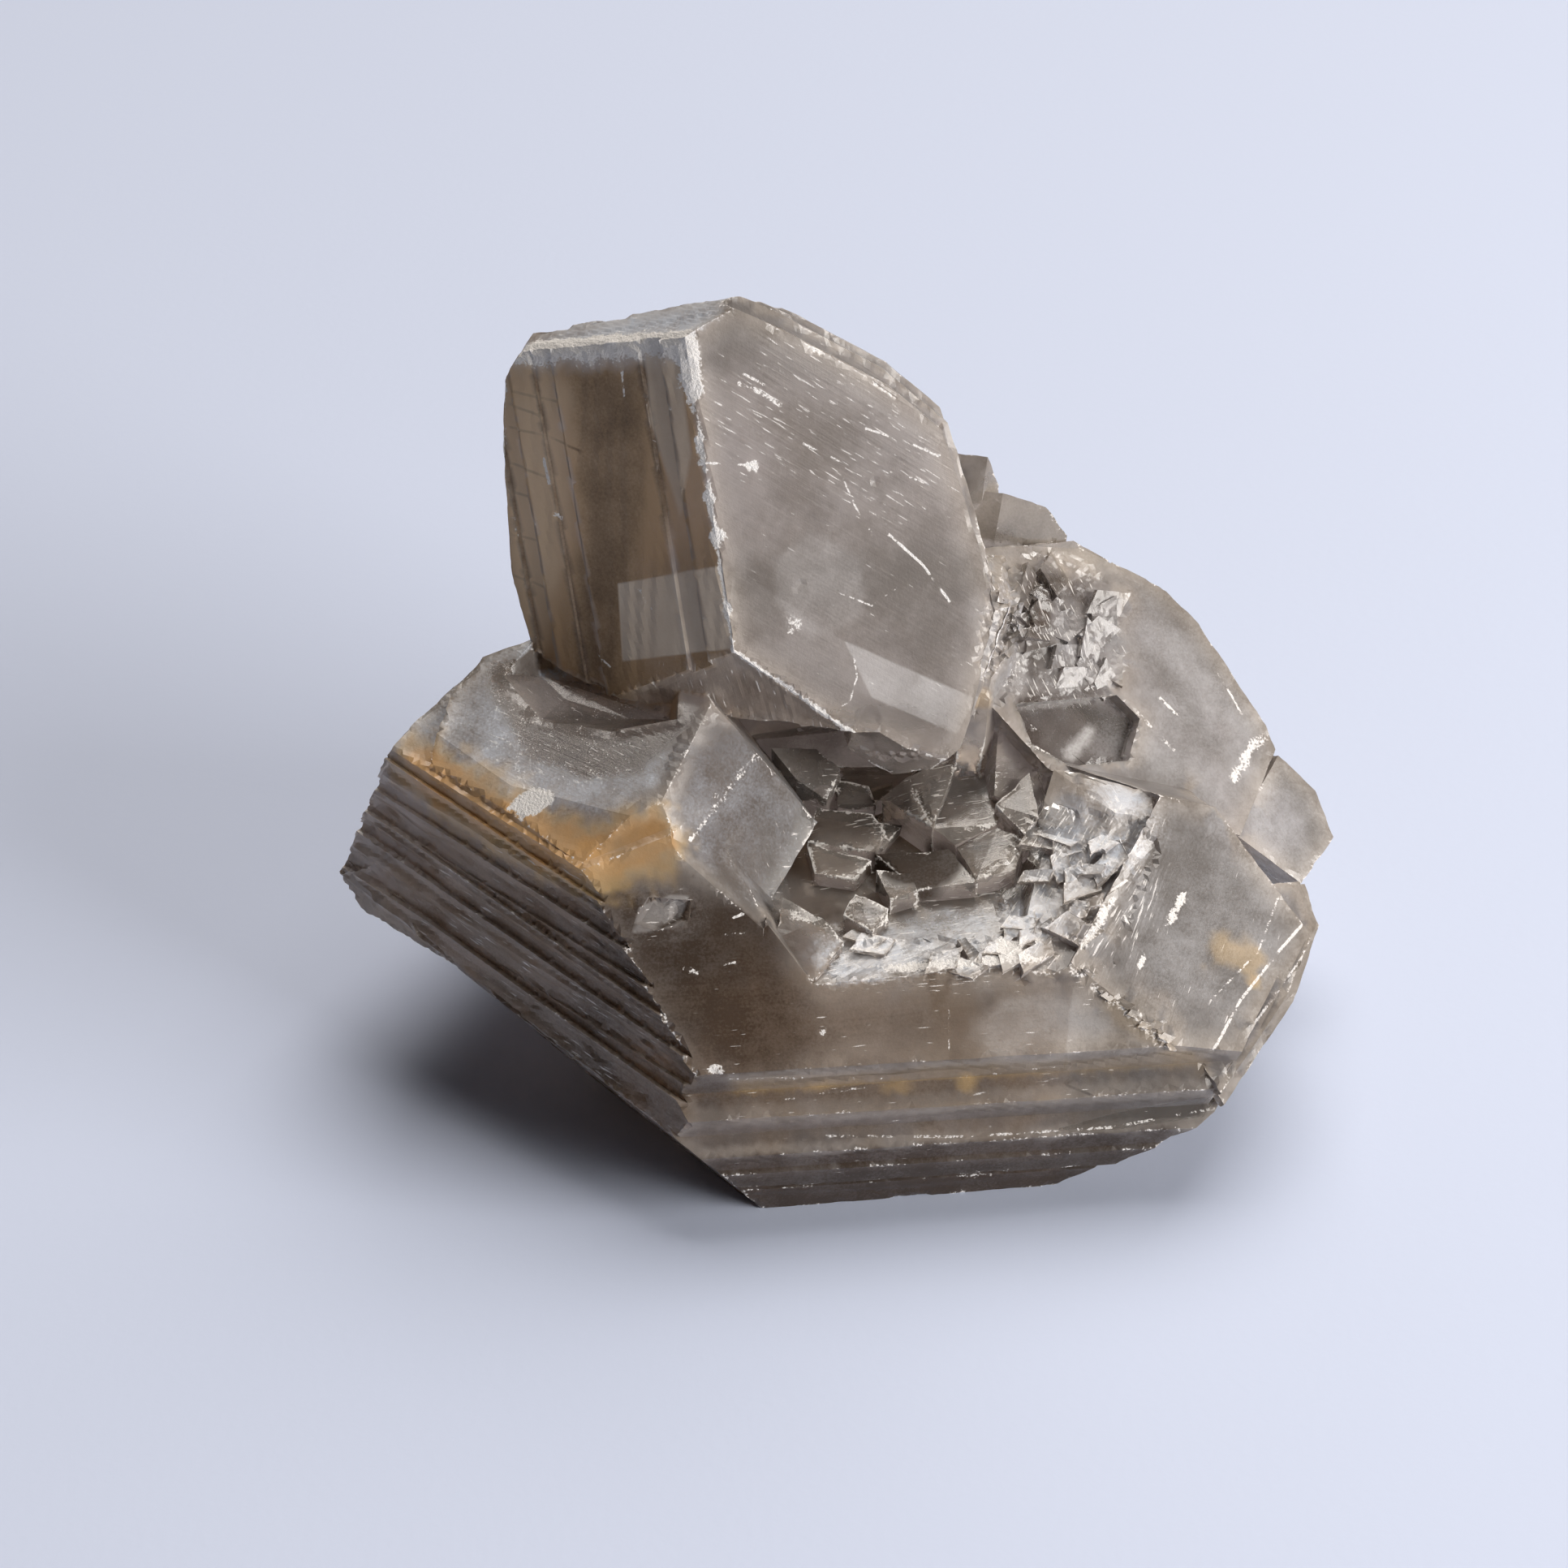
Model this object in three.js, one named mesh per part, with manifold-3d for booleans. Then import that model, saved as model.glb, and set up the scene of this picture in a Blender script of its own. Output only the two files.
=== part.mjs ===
// A cluster of intergrown gypsum crystals (selenite), a hand specimen about 100 mm across.
// A broad lozenge lies at the bottom, a thick crystal stands on it, a milky one lies beside that,
// and lesser ones lean out to the right and the back. The middle of the lozenge is broken out and
// shows cleavage blocks. It all grew as one solid.
// Millimetres, +Z up, +Y to the back. The origin is on the resting plane, under the middle.
import * as THREE from "three";
import { ConvexGeometry } from "three/addons/geometries/ConvexGeometry.js";
import { mergeVertices } from "three/addons/utils/BufferGeometryUtils.js";
import Module from "manifold-3d";

const wasm = await Module();
wasm.setup();

// Driving dimensions.
const BLANK = 400; // edge of the block that every crystal is cut from
const LEAF = 2.1; // usual thickness of one growth layer
const STEP = 0.5; // greatest height of a growth step on a crystal's rim
const FUSE = 0.05; // how far neighbouring layers run into each other
const SLIVER = 0.02; // edges shorter than this are merged
const PLATE_GAP = 1.6; // distance between the thin plates under the right face
const LEDGE = 2.5; // distance between the ledges on the left face
const LEDGES = 7; // number of those ledges
const LEDGE_LINE = [0.79, -0.6, -0.15]; // direction in which they run
const LENS_SINK = 3; // height of the cutter that sinks the lens into the leaning crystal

const vector = (xyz) => new THREE.Vector3(...xyz);

/** A closed geometry as a manifold-3d solid. */
function solidOf(geometry) {
  const bare = new THREE.BufferGeometry();
  bare.setAttribute("position", geometry.getAttribute("position"));
  bare.setIndex(geometry.index);
  const merged = mergeVertices(bare, 1e-4);
  const triVerts = new Uint32Array(merged.index.array);
  const vertProperties = merged.getAttribute("position").array;
  return new wasm.Manifold(new wasm.Mesh({ numProp: 3, vertProperties, triVerts }));
}

/** A manifold-3d solid as an indexed geometry. */
function geometryOf(solid) {
  const mesh = solid.getMesh();
  const geometry = new THREE.BufferGeometry();
  geometry.setAttribute("position", new THREE.BufferAttribute(mesh.vertProperties, 3));
  geometry.setIndex(new THREE.BufferAttribute(mesh.triVerts, 1));
  return geometry;
}

/** The same jitter from 0 to 1 for the same two whole numbers. */
function jitter(i, j) {
  const wave = Math.sin(i * 127.1 + j * 311.7 + 5.3) * 43758.5453;
  return wave - Math.floor(wave);
}

/** The plane through three points that faces away from a point inside. */
function planeThrough([a, b, c], inside) {
  const plane = new THREE.Plane().setFromCoplanarPoints(a, b, c);
  return plane.distanceToPoint(inside) > 0 ? plane.negate() : plane;
}

/** What is left of a solid behind planes, each moved inwards by its inset. */
function cutBy(solid, planes, insets = []) {
  return planes.reduce((left, { normal, constant }, i) => {
    const depth = constant + (insets[i] ?? 0);
    return left.trimByPlane(normal.clone().negate().toArray(), depth);
  }, solid);
}

const blank = solidOf(new THREE.BoxGeometry(BLANK, BLANK, BLANK));

/**
 * A convex crystal, described by
 * corners: named points,
 * front: three corners on its broad front plane,
 * faces: more planes, three corners each,
 * ledges: planes on which the growth layers end in steps, three corners each,
 * rims: chains of corners, from which flat sides run back along a direction,
 * hidden: planes as a point and the direction they face,
 * depth: distance from the front plane to the one that closes the crystal,
 * leaf: thickness of a growth layer, if the crystal shows layers,
 * step: greatest height of a growth step.
 */
function crystal(shape) {
  const { corners, front, faces = [], ledges = [], rims = [], hidden = [], depth } = shape;
  const { leaf, step = STEP } = shape;
  const at = Object.fromEntries(Object.entries(corners).map(([k, xyz]) => [k, vector(xyz)]));
  const named = (names) => names.split(" ").map((name) => at[name]);
  const inside = new THREE.Vector3();
  Object.values(at).forEach((p) => inside.addScaledVector(p, 1 / Object.keys(at).length));
  const broad = new THREE.Plane().setFromCoplanarPoints(...named(front));
  if (broad.normal.dot(vector(rims[0].run)) > 0) broad.negate();
  const core = inside.clone().addScaledVector(broad.normal, -depth / 4);

  const flat = faces.map((names) => planeThrough(named(names), core));
  hidden.forEach(([point, facing]) => {
    const normal = vector(facing).normalize();
    flat.push(new THREE.Plane().setFromNormalAndCoplanarPoint(normal, vector(point)));
  });
  flat.push(broad.clone().negate());
  flat.at(-1).constant -= depth;

  const stepped = ledges.map((names) => ({ plane: planeThrough(named(names), core) }));
  rims.forEach(({ chain, run, terraces }) => {
    const line = named(chain);
    line.slice(1).forEach((end, i) => {
      const back = end.clone().add(vector(run));
      stepped.push({ plane: planeThrough([line[i], end, back], core), terraces });
    });
  });
  const rimPlanes = stepped.map(({ plane }) => plane);
  const body = cutBy(blank, [broad, ...flat]);
  if (!leaf) return cutBy(body, rimPlanes);

  const layers = [];
  for (let k = 0, from = 0; from < depth; k += 1) {
    const thick = leaf * (0.7 + 0.6 * jitter(k, 7));
    const outer = broad.clone();
    const inner = broad.clone().negate();
    outer.constant += Math.max(0, from - FUSE);
    inner.constant -= from + thick;
    const insets = stepped.map(({ terraces = [] }, i) => (terraces[k] ?? 0) + step * jitter(k, i));
    layers.push(cutBy(cutBy(body, [outer, inner]), rimPlanes, insets));
    from += thick;
  }
  return wasm.Manifold.union(layers.filter((layer) => !layer.isEmpty()));
}

/** The convex block that a few corner points enclose. */
const block = (...points) => solidOf(new ConvexGeometry(points.map(vector)));

/** A cleavage block: its top corners, and the same corners lower down and shifted. */
function stump(top, drop, shift = [0, 0]) {
  const foot = top.map(([x, y, z]) => [x + shift[0], y + shift[1], z - drop]);
  return block(...top, ...foot);
}

/**
 * Small cleavage chips, strewn over a four-cornered patch and half sunk into it. They lie along
 * the patch's first edge, more or less.
 */
function strew({ count, seed, patch, size, thick, tilt = 0.3, turn = 0.6 }) {
  const [a, b, c, d] = patch.map(vector);
  const along = b.clone().sub(a).normalize();
  const out = along.clone().cross(d.clone().sub(a)).normalize();
  const lie = new THREE.Matrix4().makeBasis(along, out.clone().cross(along), out);
  const shear = new THREE.Matrix4().makeShear(0, 0, 0.5, 0, 0, 0);
  return Array.from({ length: count }, (_, i) => {
    const rough = (j) => jitter(i, seed + j);
    const middle = a.clone().lerp(b, rough(0)).lerp(d.clone().lerp(c, rough(0)), rough(1));
    const swing = [tilt, tilt, turn].map((angle, j) => angle * (2 * rough(j + 2) - 1));
    const chip = new THREE.BoxGeometry(
      size * (0.7 + 0.9 * rough(5)),
      size * (0.4 + 0.6 * rough(6)),
      thick * (0.6 + 0.8 * rough(7)),
    );
    chip.applyMatrix4(shear);
    chip.applyMatrix4(new THREE.Matrix4().makeRotationFromEuler(new THREE.Euler(...swing)));
    chip.applyMatrix4(lie);
    return solidOf(chip.translate(middle.x, middle.y, middle.z));
  });
}

// The thick crystal that stands on the cluster. Its front faces right, and its left face shows
// the layers edge on. Its lower end hangs over the hollow.
const upperCorners = {
  crown: [-14.5, 8, 78],
  peak: [-7.6, 11.3, 80.4],
  peakRight: [-3.5, 11.7, 78.2],
  brow: [4.9, 12.1, 72.9],
  shoulder: [10.9, 11.7, 67.5],
  shoulderLow: [13.5, 9.2, 60],
  hip: [17, 5.5, 49],
  knee: [13.5, -1.5, 36.5],
  sole: [2, -4, 40],
  heel: [-10, -3.5, 50],
  ridgeLeft: [-24, 17.5, 74],
  ridgeRight: [-13, 14, 78.5],
  cornerLeft: [-31, 16, 72],
  edgeHigh: [-32.6, 15.7, 69.2],
  edgeMiddle: [-33, 12.5, 58.5],
  edgeLow: [-32.5, 9, 49],
  edgeFoot: [-31, 7, 44],
  foot: [-27.5, 3.5, 40],
  footRight: [-21, 0.5, 42],
  baseLeft: [-20, 4.5, 39],
  baseMiddle: [-8, 1.5, 35],
  baseRight: [1, -3, 38],
};
const upper = crystal({
  corners: upperCorners,
  front: "crown heel hip",
  faces: ["crown ridgeRight cornerLeft", "footRight heel sole"],
  ledges: ["crown heel edgeMiddle"],
  rims: [
    { chain: "peak peakRight brow shoulder", run: [0.03, 0.85, -0.5], terraces: [1.6, 0.3] },
    { chain: "shoulder shoulderLow hip knee", run: [-0.05, 0.85, -0.55], terraces: [0.7] },
    { chain: "ridgeLeft ridgeRight", run: [0.05, 0.7, -0.7] },
    { chain: "cornerLeft edgeHigh edgeMiddle edgeLow edgeFoot foot", run: [0.1, 0.93, -0.34] },
    { chain: "foot baseLeft baseMiddle baseRight", run: [0.1, 0.93, -0.34] },
  ],
  hidden: [
    [[10, 34, 60], [0.55, 0.8, 0.25]],
    [[-12, 34, 66], [-0.1, 0.75, 0.65]],
  ],
  depth: 25,
  leaf: 2,
});

// The clear toe of the standing crystal, which reaches down in front of its lower edge.
const toe = crystal({
  corners: {
    top: [2, -3.7, 41.5],
    left: [1.8, -3.8, 40.5],
    bevelLeft: [3.2, -3.7, 39.5],
    bevelMiddle: [7.1, -3.2, 37.9],
    bevelRight: [10.3, -3.2, 35.4],
    right: [12.5, -1.8, 36.9],
    hip: [16, 3.5, 45],
    lowLeft: [2.4, -2.4, 36.2],
    lowMiddle: [5.8, -2, 33.6],
    lowRight: [10.7, -2.4, 34.6],
    high: [-2, 2, 55],
  },
  front: "left bevelMiddle hip",
  faces: ["bevelMiddle bevelRight lowMiddle", "left bevelMiddle lowLeft"],
  rims: [
    { chain: "lowLeft lowMiddle lowRight", run: [0.1, 0.93, -0.34] },
    { chain: "bevelRight right hip", run: [0.1, 0.93, -0.34] },
    { chain: "top left", run: [0, 1, 0] },
  ],
  hidden: [
    [[8, 0, 50], [0, 0.2, 1]],
    [[8, 9, 40], [0.1, 1, 0.1]],
  ],
  depth: 14,
});

// The broad lozenge at the bottom, a stack of layers. The right rim and the lower edge of its
// front are terraced.
const lozengeCorners = {
  tip: [-51, -3, 22],
  leftHigh: [-39, 3, 40.5],
  leftFront: [-41, -6, 37],
  frontHigh: [-24.5, -18, 34.5],
  frontLow: [-11, -33.3, 14.5],
  frontRight: [38.3, -27.5, 13],
  rightFront: [38, -26.5, 14.5],
  rightTop: [23, -20, 24.5],
  rightTip: [48, -11, 21],
  ridgeRight: [42, -5.5, 27],
  ridgeBack: [30, -3.5, 33],
  keelLeft: [-31.5, -18.5, 16],
  keelFoot: [-7, -30, 0],
  brow: [-35.5, 6.5, 42],
  browRight: [-31.5, 7.5, 43],
  footRight: [22, -27, 0],
  footCorner: [35, -27.5, 8],
  middleRight: [40, -2, 10],
  footLeft: [-14, 0, 0],
  footBack: [-4, 22, 0],
  backLeft: [-37, 20, 20],
  backRight: [40, 14, 20],
};
const lozengeBody = crystal({
  corners: lozengeCorners,
  front: "frontHigh rightFront rightTop",
  faces: [
    "rightFront rightTop rightTip",
    "frontHigh leftFront leftHigh",
    "footLeft footBack tip",
    "footRight footCorner middleRight",
    "tip frontLow frontHigh",
  ],
  ledges: ["keelFoot keelLeft tip", "tip leftHigh backLeft"],
  rims: [
    { chain: "frontLow frontRight", run: [0, 0.2, -1], terraces: [3.9, 1.6, 0.4, 0, 0.3, 0.5] },
    { chain: "frontRight rightTip", run: [-0.2, 0.4, -0.9], terraces: [0.9, 0.4] },
    { chain: "rightTip ridgeRight", run: [-0.1, 0.75, -0.65] },
    { chain: "leftHigh brow browRight", run: [0.05, 0.78, -0.62] },
  ],
  hidden: [
    [[0, 0, 0], [0, 0, -1]],
    [[45, 0, 21], [0.9, 0.4, -0.1]],
    [[30, -3.5, 33], [0.25, 0.45, 0.85]],
    [[36, 18, 20], [0.65, 0.75, 0.1]],
    [[0, 22, 0], [0.05, 0.75, -0.66]],
    [[-10, 31, 24], [-0.15, 0.98, 0.1]],
    [[-30, 24, 24], [-0.65, 0.75, 0.15]],
    [[-20, 24, 42], [-0.15, 0.6, 0.78]],
  ],
  depth: 48,
  leaf: LEAF,
  step: 0.8,
});

// The hollow broken out of the lozenge: a deep part under the standing crystal, and a shallow
// slope of cleavage steps on its right.
const hollow = block(
  [-2, -23.9, 24.6],
  [17.5, -21.9, 24.6],
  [18.5, -13, 26.5],
  [20, -4, 27.2],
  [20, 7, 27.5],
  [12, 13, 28],
  [-9, 14, 28],
  [-6.7, -11.6, 26.6],
  [-18.4, -20, 45],
  [-14, 14, 45],
  [24, -26, 34],
  [27, -10, 40],
  [24, 13, 45],
);
const slope = block(
  [17, -23, 23.7],
  [22.5, -20, 23.9],
  [25.5, -12.6, 26.6],
  [28, -8, 29],
  [31.6, -3.2, 29.8],
  [18, 4, 33],
  [16, -4, 30],
  [17, -25, 29],
  [23.2, -22.4, 28],
  [27.4, -14.5, 31],
  [29.5, -10, 33.5],
  [35, -3.5, 37],
  [18, 0, 42],
);
const notch = block(
  [-15.8, -17, 35.4],
  [-10.5, -17.6, 33],
  [-7, -20.2, 29],
  [-6, -12, 29],
  [-12, -6, 35],
  [-16, -10, 38],
  [-16, -24, 44],
  [-6, -24, 44],
  [-6, -6, 44],
);
// The dip in which the standing crystal's foot shows, beside the milky crystal's top.
const dip = block(
  [-33, 3, 42.4],
  [-29, -2.5, 40.9],
  [-22, -4.5, 41.1],
  [-15.5, -4, 42.1],
  [-29.5, 5.5, 40.6],
  [-27, 2.5, 39.8],
  [-20.5, -0.5, 39.6],
  [-16.5, -1.5, 40.2],
  [-33, 3, 48],
  [-29, -2.5, 48],
  [-22, -4.5, 48],
  [-15.5, -4, 48],
  [-29.5, 8, 46],
  [-15, 4, 46],
);
// A flake scar on the front, where a thin chip has come off.
const scar = block(
  [-19.5, -20.8, 30.2],
  [-18.1, -19.1, 32.1],
  [-14.1, -19, 31.6],
  [-14.3, -20.2, 30.1],
  [-17.4, -21.1, 29.5],
  [-16.6, -19.2, 30],
  [-18, -24, 34],
  [-14, -24, 34],
);

// Growth ledges on the lozenge's left face, one above the other: each is a long wedge that is
// deepest at its lower edge.
const leftCorners = ["tip", "frontLow", "frontHigh"].map((name) => vector(lozengeCorners[name]));
const leftFacing = planeThrough(leftCorners, vector([0, 0, 20])).normal;
const ledges = Array.from({ length: LEDGES }, (_, k) => {
  const swing = [0, 0, 0.08 * (jitter(k, 3) - 0.5)];
  const along = vector(LEDGE_LINE).add(vector(swing)).projectOnPlane(leftFacing).normalize();
  const up = leftFacing.clone().cross(along);
  const foot = leftCorners[1].clone().addScaledVector(up, k * LEDGE);
  const head = foot.clone().addScaledVector(up, LEDGE * (0.7 + 0.3 * jitter(k, 2)));
  const bottom = foot.clone().addScaledVector(leftFacing, -0.4 - 0.5 * jitter(k, 1));
  const outside = [foot, head].map((p) => p.clone().add(leftFacing));
  const section = [foot, head, bottom, ...outside];
  const ends = section.flatMap((p) => [1, -1].map((way) => p.clone().addScaledVector(along, way * BLANK)));
  return solidOf(new ConvexGeometry(ends));
});
const wounds = [hollow, slope, notch, dip, scar, ...ledges];
const lozenge = wounds.reduce((left, wound) => left.subtract(wound), lozengeBody);

// A thin plate under the lozenge's left tip.
const tipPlate = block(
  [-50.4, -3.6, 22.2],
  [-48.2, -4.4, 17.9],
  [-46.6, -4.6, 18.2],
  [-42.2, -8.4, 17.6],
  [-38.4, -11.6, 16.9],
  [-44, -6, 26],
  [-36, -10, 22],
  [-42, 4, 18],
);

// Cleavage blocks left standing on the hollow's floor and along its edge.
const shards = [
  stump([[4.9, -0.9, 30], [7.4, 0.6, 31.5], [12.9, 3.1, 32.5], [9.8, -5.9, 30]], 5),
  stump([[9.9, -5.3, 29.5], [13, 4.4, 31.5], [18, 0.8, 30.5], [16.3, -4.7, 29.5], [12.1, -6.8, 28.5]], 5),
  stump([[16.1, -3.3, 31], [19.7, -0.1, 32.5], [20.5, -5.5, 31], [18.9, -7, 30]], 6),
  stump([[12.1, -6.4, 28.2], [16.3, -5.1, 29.4], [19, -6.8, 29.4], [18.1, -10, 28], [14, -11.1, 27.6]], 4),
  stump([[4, -7.3, 27.8], [11.4, -7.2, 28.4], [14.3, -11.4, 27.6], [8.1, -12.2, 27.2]], 4),
  stump([[4.1, -10.5, 28.4], [7.5, -11, 28.4], [8.1, -12.7, 27.6], [5.4, -13.8, 27.2]], 4),
  stump([[-1.7, -1, 28.8], [3.9, -2.4, 29], [5.2, -4.5, 28.4], [4.1, -7, 27.8], [-2.8, -5.6, 28]], 4),
  stump([[-2.8, -5.4, 27.8], [3.8, -7.9, 27.6], [2, -10.6, 27.2], [-2.1, -9.8, 27.4]], 3),
  stump(
    [[-5.2, -15.4, 29], [-1.2, -17.6, 28.2], [0.8, -19.6, 26.8], [-2.2, -23.3, 24.8], [-5.9, -19.6, 27.2]],
    5,
    [0, 2],
  ),
  stump([[0.6, -15.9, 27.2], [1.9, -13.7, 28.2], [5.3, -15.4, 27.6], [3.6, -17.8, 26.6]], 4),
  stump([[-1.7, 3.3, 33], [0.8, 2.4, 31], [-0.7, -0.8, 29.5], [-3.8, 0.1, 31.5], [-6.3, 2, 34]], 7),
  stump([[0.2, 2.7, 29.6], [3.6, 1.5, 29.5], [4.3, -0.5, 28.8], [0.4, -0.6, 28.8]], 4),
  stump([[11.7, -18.2, 26], [12.7, -18.1, 26.4], [14, -20, 25.8], [13.3, -20.9, 25]], 3, [0, 1]),
  stump(
    [[22, -1.5, 34], [24.6, -1.5, 33.6], [32, -2.5, 31.7], [31.8, -4.9, 30.7], [28, -5.2, 31.4]],
    6,
    [-3, -7],
  ),
];

// The milky crystal beside the standing one. Its right end is broken along two clear cleavages.
const milky = crystal({
  corners: {
    back: [-31.4, 6.5, 43.9],
    backLeft: [-35.2, 5.3, 42.9],
    left: [-38.2, 1.4, 41.1],
    leftFront: [-39.3, -2.6, 39.5],
    front: [-31.7, -9.3, 38],
    frontRight: [-18.8, -14.6, 37.7],
    endLeft: [-16.8, -12.6, 38.8],
    endRight: [-12.3, -3.3, 42.7],
    cleaveLeft: [-14, -13.9, 35],
    cleaveRight: [-7.7, -4.5, 38.3],
    footLeft: [-6.7, -12, 27.5],
    footRight: [-2, -2.6, 29],
  },
  front: "back left endLeft",
  faces: ["endLeft endRight cleaveRight", "cleaveLeft cleaveRight footLeft"],
  rims: [
    { chain: "back backLeft left leftFront", run: [0.2, 0.1, -1] },
    { chain: "leftFront front frontRight", run: [-0.35, -0.75, -0.55] },
    { chain: "cleaveRight footRight", run: [-0.5, 1, 0.1] },
  ],
  hidden: [
    [[-14, 16, 40], [0.3, 0.95, 0]],
    [[-24.2, -17.6, 34.4], [-0.56, -0.796, 0.231]],
    [[-24.5, -17.7, 34.2], [0.105, -0.755, 0.648]],
  ],
  depth: 13,
});

// The crystal that leans out to the right at the back: an upper plate, and a body behind it that
// steps back under the plate.
const leanCorners = {
  backHigh: [15.9, 18.2, 47.6],
  crest: [24.5, 22.5, 45.6],
  crestRight: [29.2, 22.4, 43],
  browHigh: [34.7, 22.3, 39.9],
  brow: [39.4, 20.1, 35.8],
  browLow: [42.4, 17.2, 32.3],
  cheek: [46.2, 13.3, 27.6],
  cheekLow: [46.9, 11.9, 26.3],
  chin: [42.3, 2.1, 22.4],
  jaw: [21.2, 0.1, 32.8],
  step: [30.2, 10.3, 34.5],
  underRight: [17.4, 4.3, 37.6],
  underLeft: [14.4, 4.1, 39.1],
};
const leanBack = [-0.35, 0.6, -0.7];
const leanPlate = crystal({
  corners: leanCorners,
  front: "backHigh chin crest",
  rims: [
    { chain: "backHigh crest crestRight browHigh brow browLow", run: leanBack },
    { chain: "browLow step underRight underLeft", run: leanBack },
  ],
  hidden: [[[11, 12, 44], [-1, 0, 0.1]]],
  depth: 12,
  leaf: 2.3,
  step: 0.4,
});
const leanCheek = crystal({
  corners: leanCorners,
  front: "backHigh chin crest",
  rims: [
    { chain: "crestRight browHigh brow browLow cheek cheekLow", run: leanBack },
    { chain: "cheekLow chin jaw underLeft crestRight", run: leanBack },
  ],
  depth: 12,
  leaf: 2.3,
  step: 0.4,
});
const leanBody = crystal({
  corners: {
    high: [18, 16, 43.5],
    crest: [24, 20, 43],
    brow: [37, 19, 34],
    cheek: [44, 11, 24.7],
    chin: [42.5, 2.5, 20],
    bottom: [30, -2, 22],
    left: [16, -2, 31],
    lensLow: [23.2, 3.1, 30.7],
    lensRight: [30.8, 10.3, 31.2],
    lensHigh: [27.4, 12, 34.2],
  },
  front: "lensLow lensRight lensHigh",
  rims: [{ chain: "left high crest brow cheek chin bottom left", run: leanBack }],
  hidden: [[[30, 20, 14], [0.3, 0.6, -0.75]]],
  depth: 17,
});

// The dark lens-shaped facet, sunk a little into the leaning crystal's face.
const lensCorners = {
  left: [17.6, 6, 36.7],
  high: [27.4, 11.2, 34.8],
  right: [31, 9.4, 31.7],
  lowRight: [29.6, 5.1, 29.6],
  low: [23.2, 2.1, 31.2],
  lowLeft: [19.4, 2.6, 33.7],
};
const lens = crystal({
  corners: lensCorners,
  front: "left high low",
  faces: ["high right lowRight"],
  rims: [{ chain: "left high right lowRight low lowLeft left", run: leanBack }],
  depth: 9,
});
const leanFacing = planeThrough(
  [leanCorners.backHigh, leanCorners.chin, leanCorners.crest].map(vector),
  vector([30, 20, 20]),
).normal;
const lensSink = solidOf(
  new ConvexGeometry(
    Object.values(lensCorners).flatMap((xyz) =>
      [-0.3, LENS_SINK].map((height) => vector(xyz).addScaledVector(leanFacing, height)),
    ),
  ),
);
const leanFront = leanCheek.subtract(lensSink);

// The small tip beyond it on the right.
const tip = crystal({
  corners: {
    high: [47, 12, 25.5],
    right: [51, 11, 21.5],
    end: [53, 7.5, 18],
    low: [49, 1.5, 16.5],
    left: [41.5, 2.5, 22.5],
  },
  front: "high end low",
  rims: [
    { chain: "high right end low", run: [-0.5, 0.6, -0.6] },
    { chain: "low left high", run: [-0.6, 0.6, -0.5] },
  ],
  hidden: [[[49, 12, 15], [0.5, 0.6, -0.6]]],
  depth: 14,
});

// A crystal that faces the back and joins the standing one to the lozenge.
const rear = crystal({
  corners: {
    left: [-24, 26, 39.3],
    highLeft: [-12, 22, 46.7],
    high: [6, 21, 51],
    highRight: [14, 24, 48.3],
    right: [20, 30, 41.3],
    lowRight: [18, 35, 34.3],
    low: [2, 37, 29],
    lowLeft: [-18, 35, 28.3],
    farLeft: [-28, 31, 32],
  },
  front: "left high low",
  rims: [
    {
      chain: "left highLeft high highRight right lowRight low lowLeft farLeft left",
      run: [0.1, -0.8, -0.6],
      terraces: [1.2, 0.4],
    },
  ],
  depth: 22,
  leaf: 2.4,
});

// Stepped small crystals behind the standing one.
const backSteps = [
  stump([[11, 22, 56.8], [15.7, 22, 56], [17.2, 23, 52], [15, 30, 47], [10, 29, 50]], 24, [-2, -2]),
  stump(
    [[14, 22, 52], [17.4, 21.5, 52], [22, 22, 50], [24.3, 22, 46.4], [22, 29, 41], [12, 30, 44]],
    22,
    [-3, -4],
  ),
  stump([[20, 20, 46.5], [25, 22, 45.8], [29, 24, 42], [26, 29, 37], [16, 30, 40]], 20, [-3, -4]),
];

// A pale granular crust between the standing crystal and the leaning one.
const crust = [
  stump([[13, 8, 49], [16.6, 7.5, 49.5], [18.6, 11, 46], [17.5, 16, 48], [13, 15, 50]], 14, [-1, -4]),
  stump([[13, 3, 41.5], [15.8, 3.4, 41.8], [18.8, 8.6, 43], [17, 13, 45], [12, 10, 44]], 12, [-1, -2]),
];

// Thin plates that stand out under the edge of the right face.
const plates = [1, 2].map((k) =>
  crystal({
    corners: {
      low: [37.4 + 0.5 * k, -26.4 + 0.4 * k, 14.4 - 1.8 * k],
      middle: [44.7 + 0.8 * k, -16.6 + 0.8 * k, 18.6 - 1.8 * k],
      tip: [48.4 + 0.5 * k, -10 + 1.3 * k, 21.3 - 1.4 * k],
      back: [46.5 + 0.8 * k, -6 + 1 * k, 23.8 - 1.3 * k],
      inner: [24, -8, 20],
    },
    front: "low tip back",
    rims: [
      { chain: "low middle tip back", run: [-0.35, 0.45, -0.8] },
      { chain: "back inner low", run: [-0.35, 0.45, -0.8] },
    ],
    depth: PLATE_GAP * 0.6,
  }),
);

// The core that the crystals share, hidden between them.
const core = block(
  [-20, 4, 30],
  [8, 4, 30],
  [14, 12, 40],
  [-20, 12, 40],
  [26, 12, 26],
  [26, 20, 36],
  [-14, 24, 40],
  [14, 26, 42],
  [21, 20, 43.5],
  [0, 20, 10],
  [20, 20, 12],
);

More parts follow.
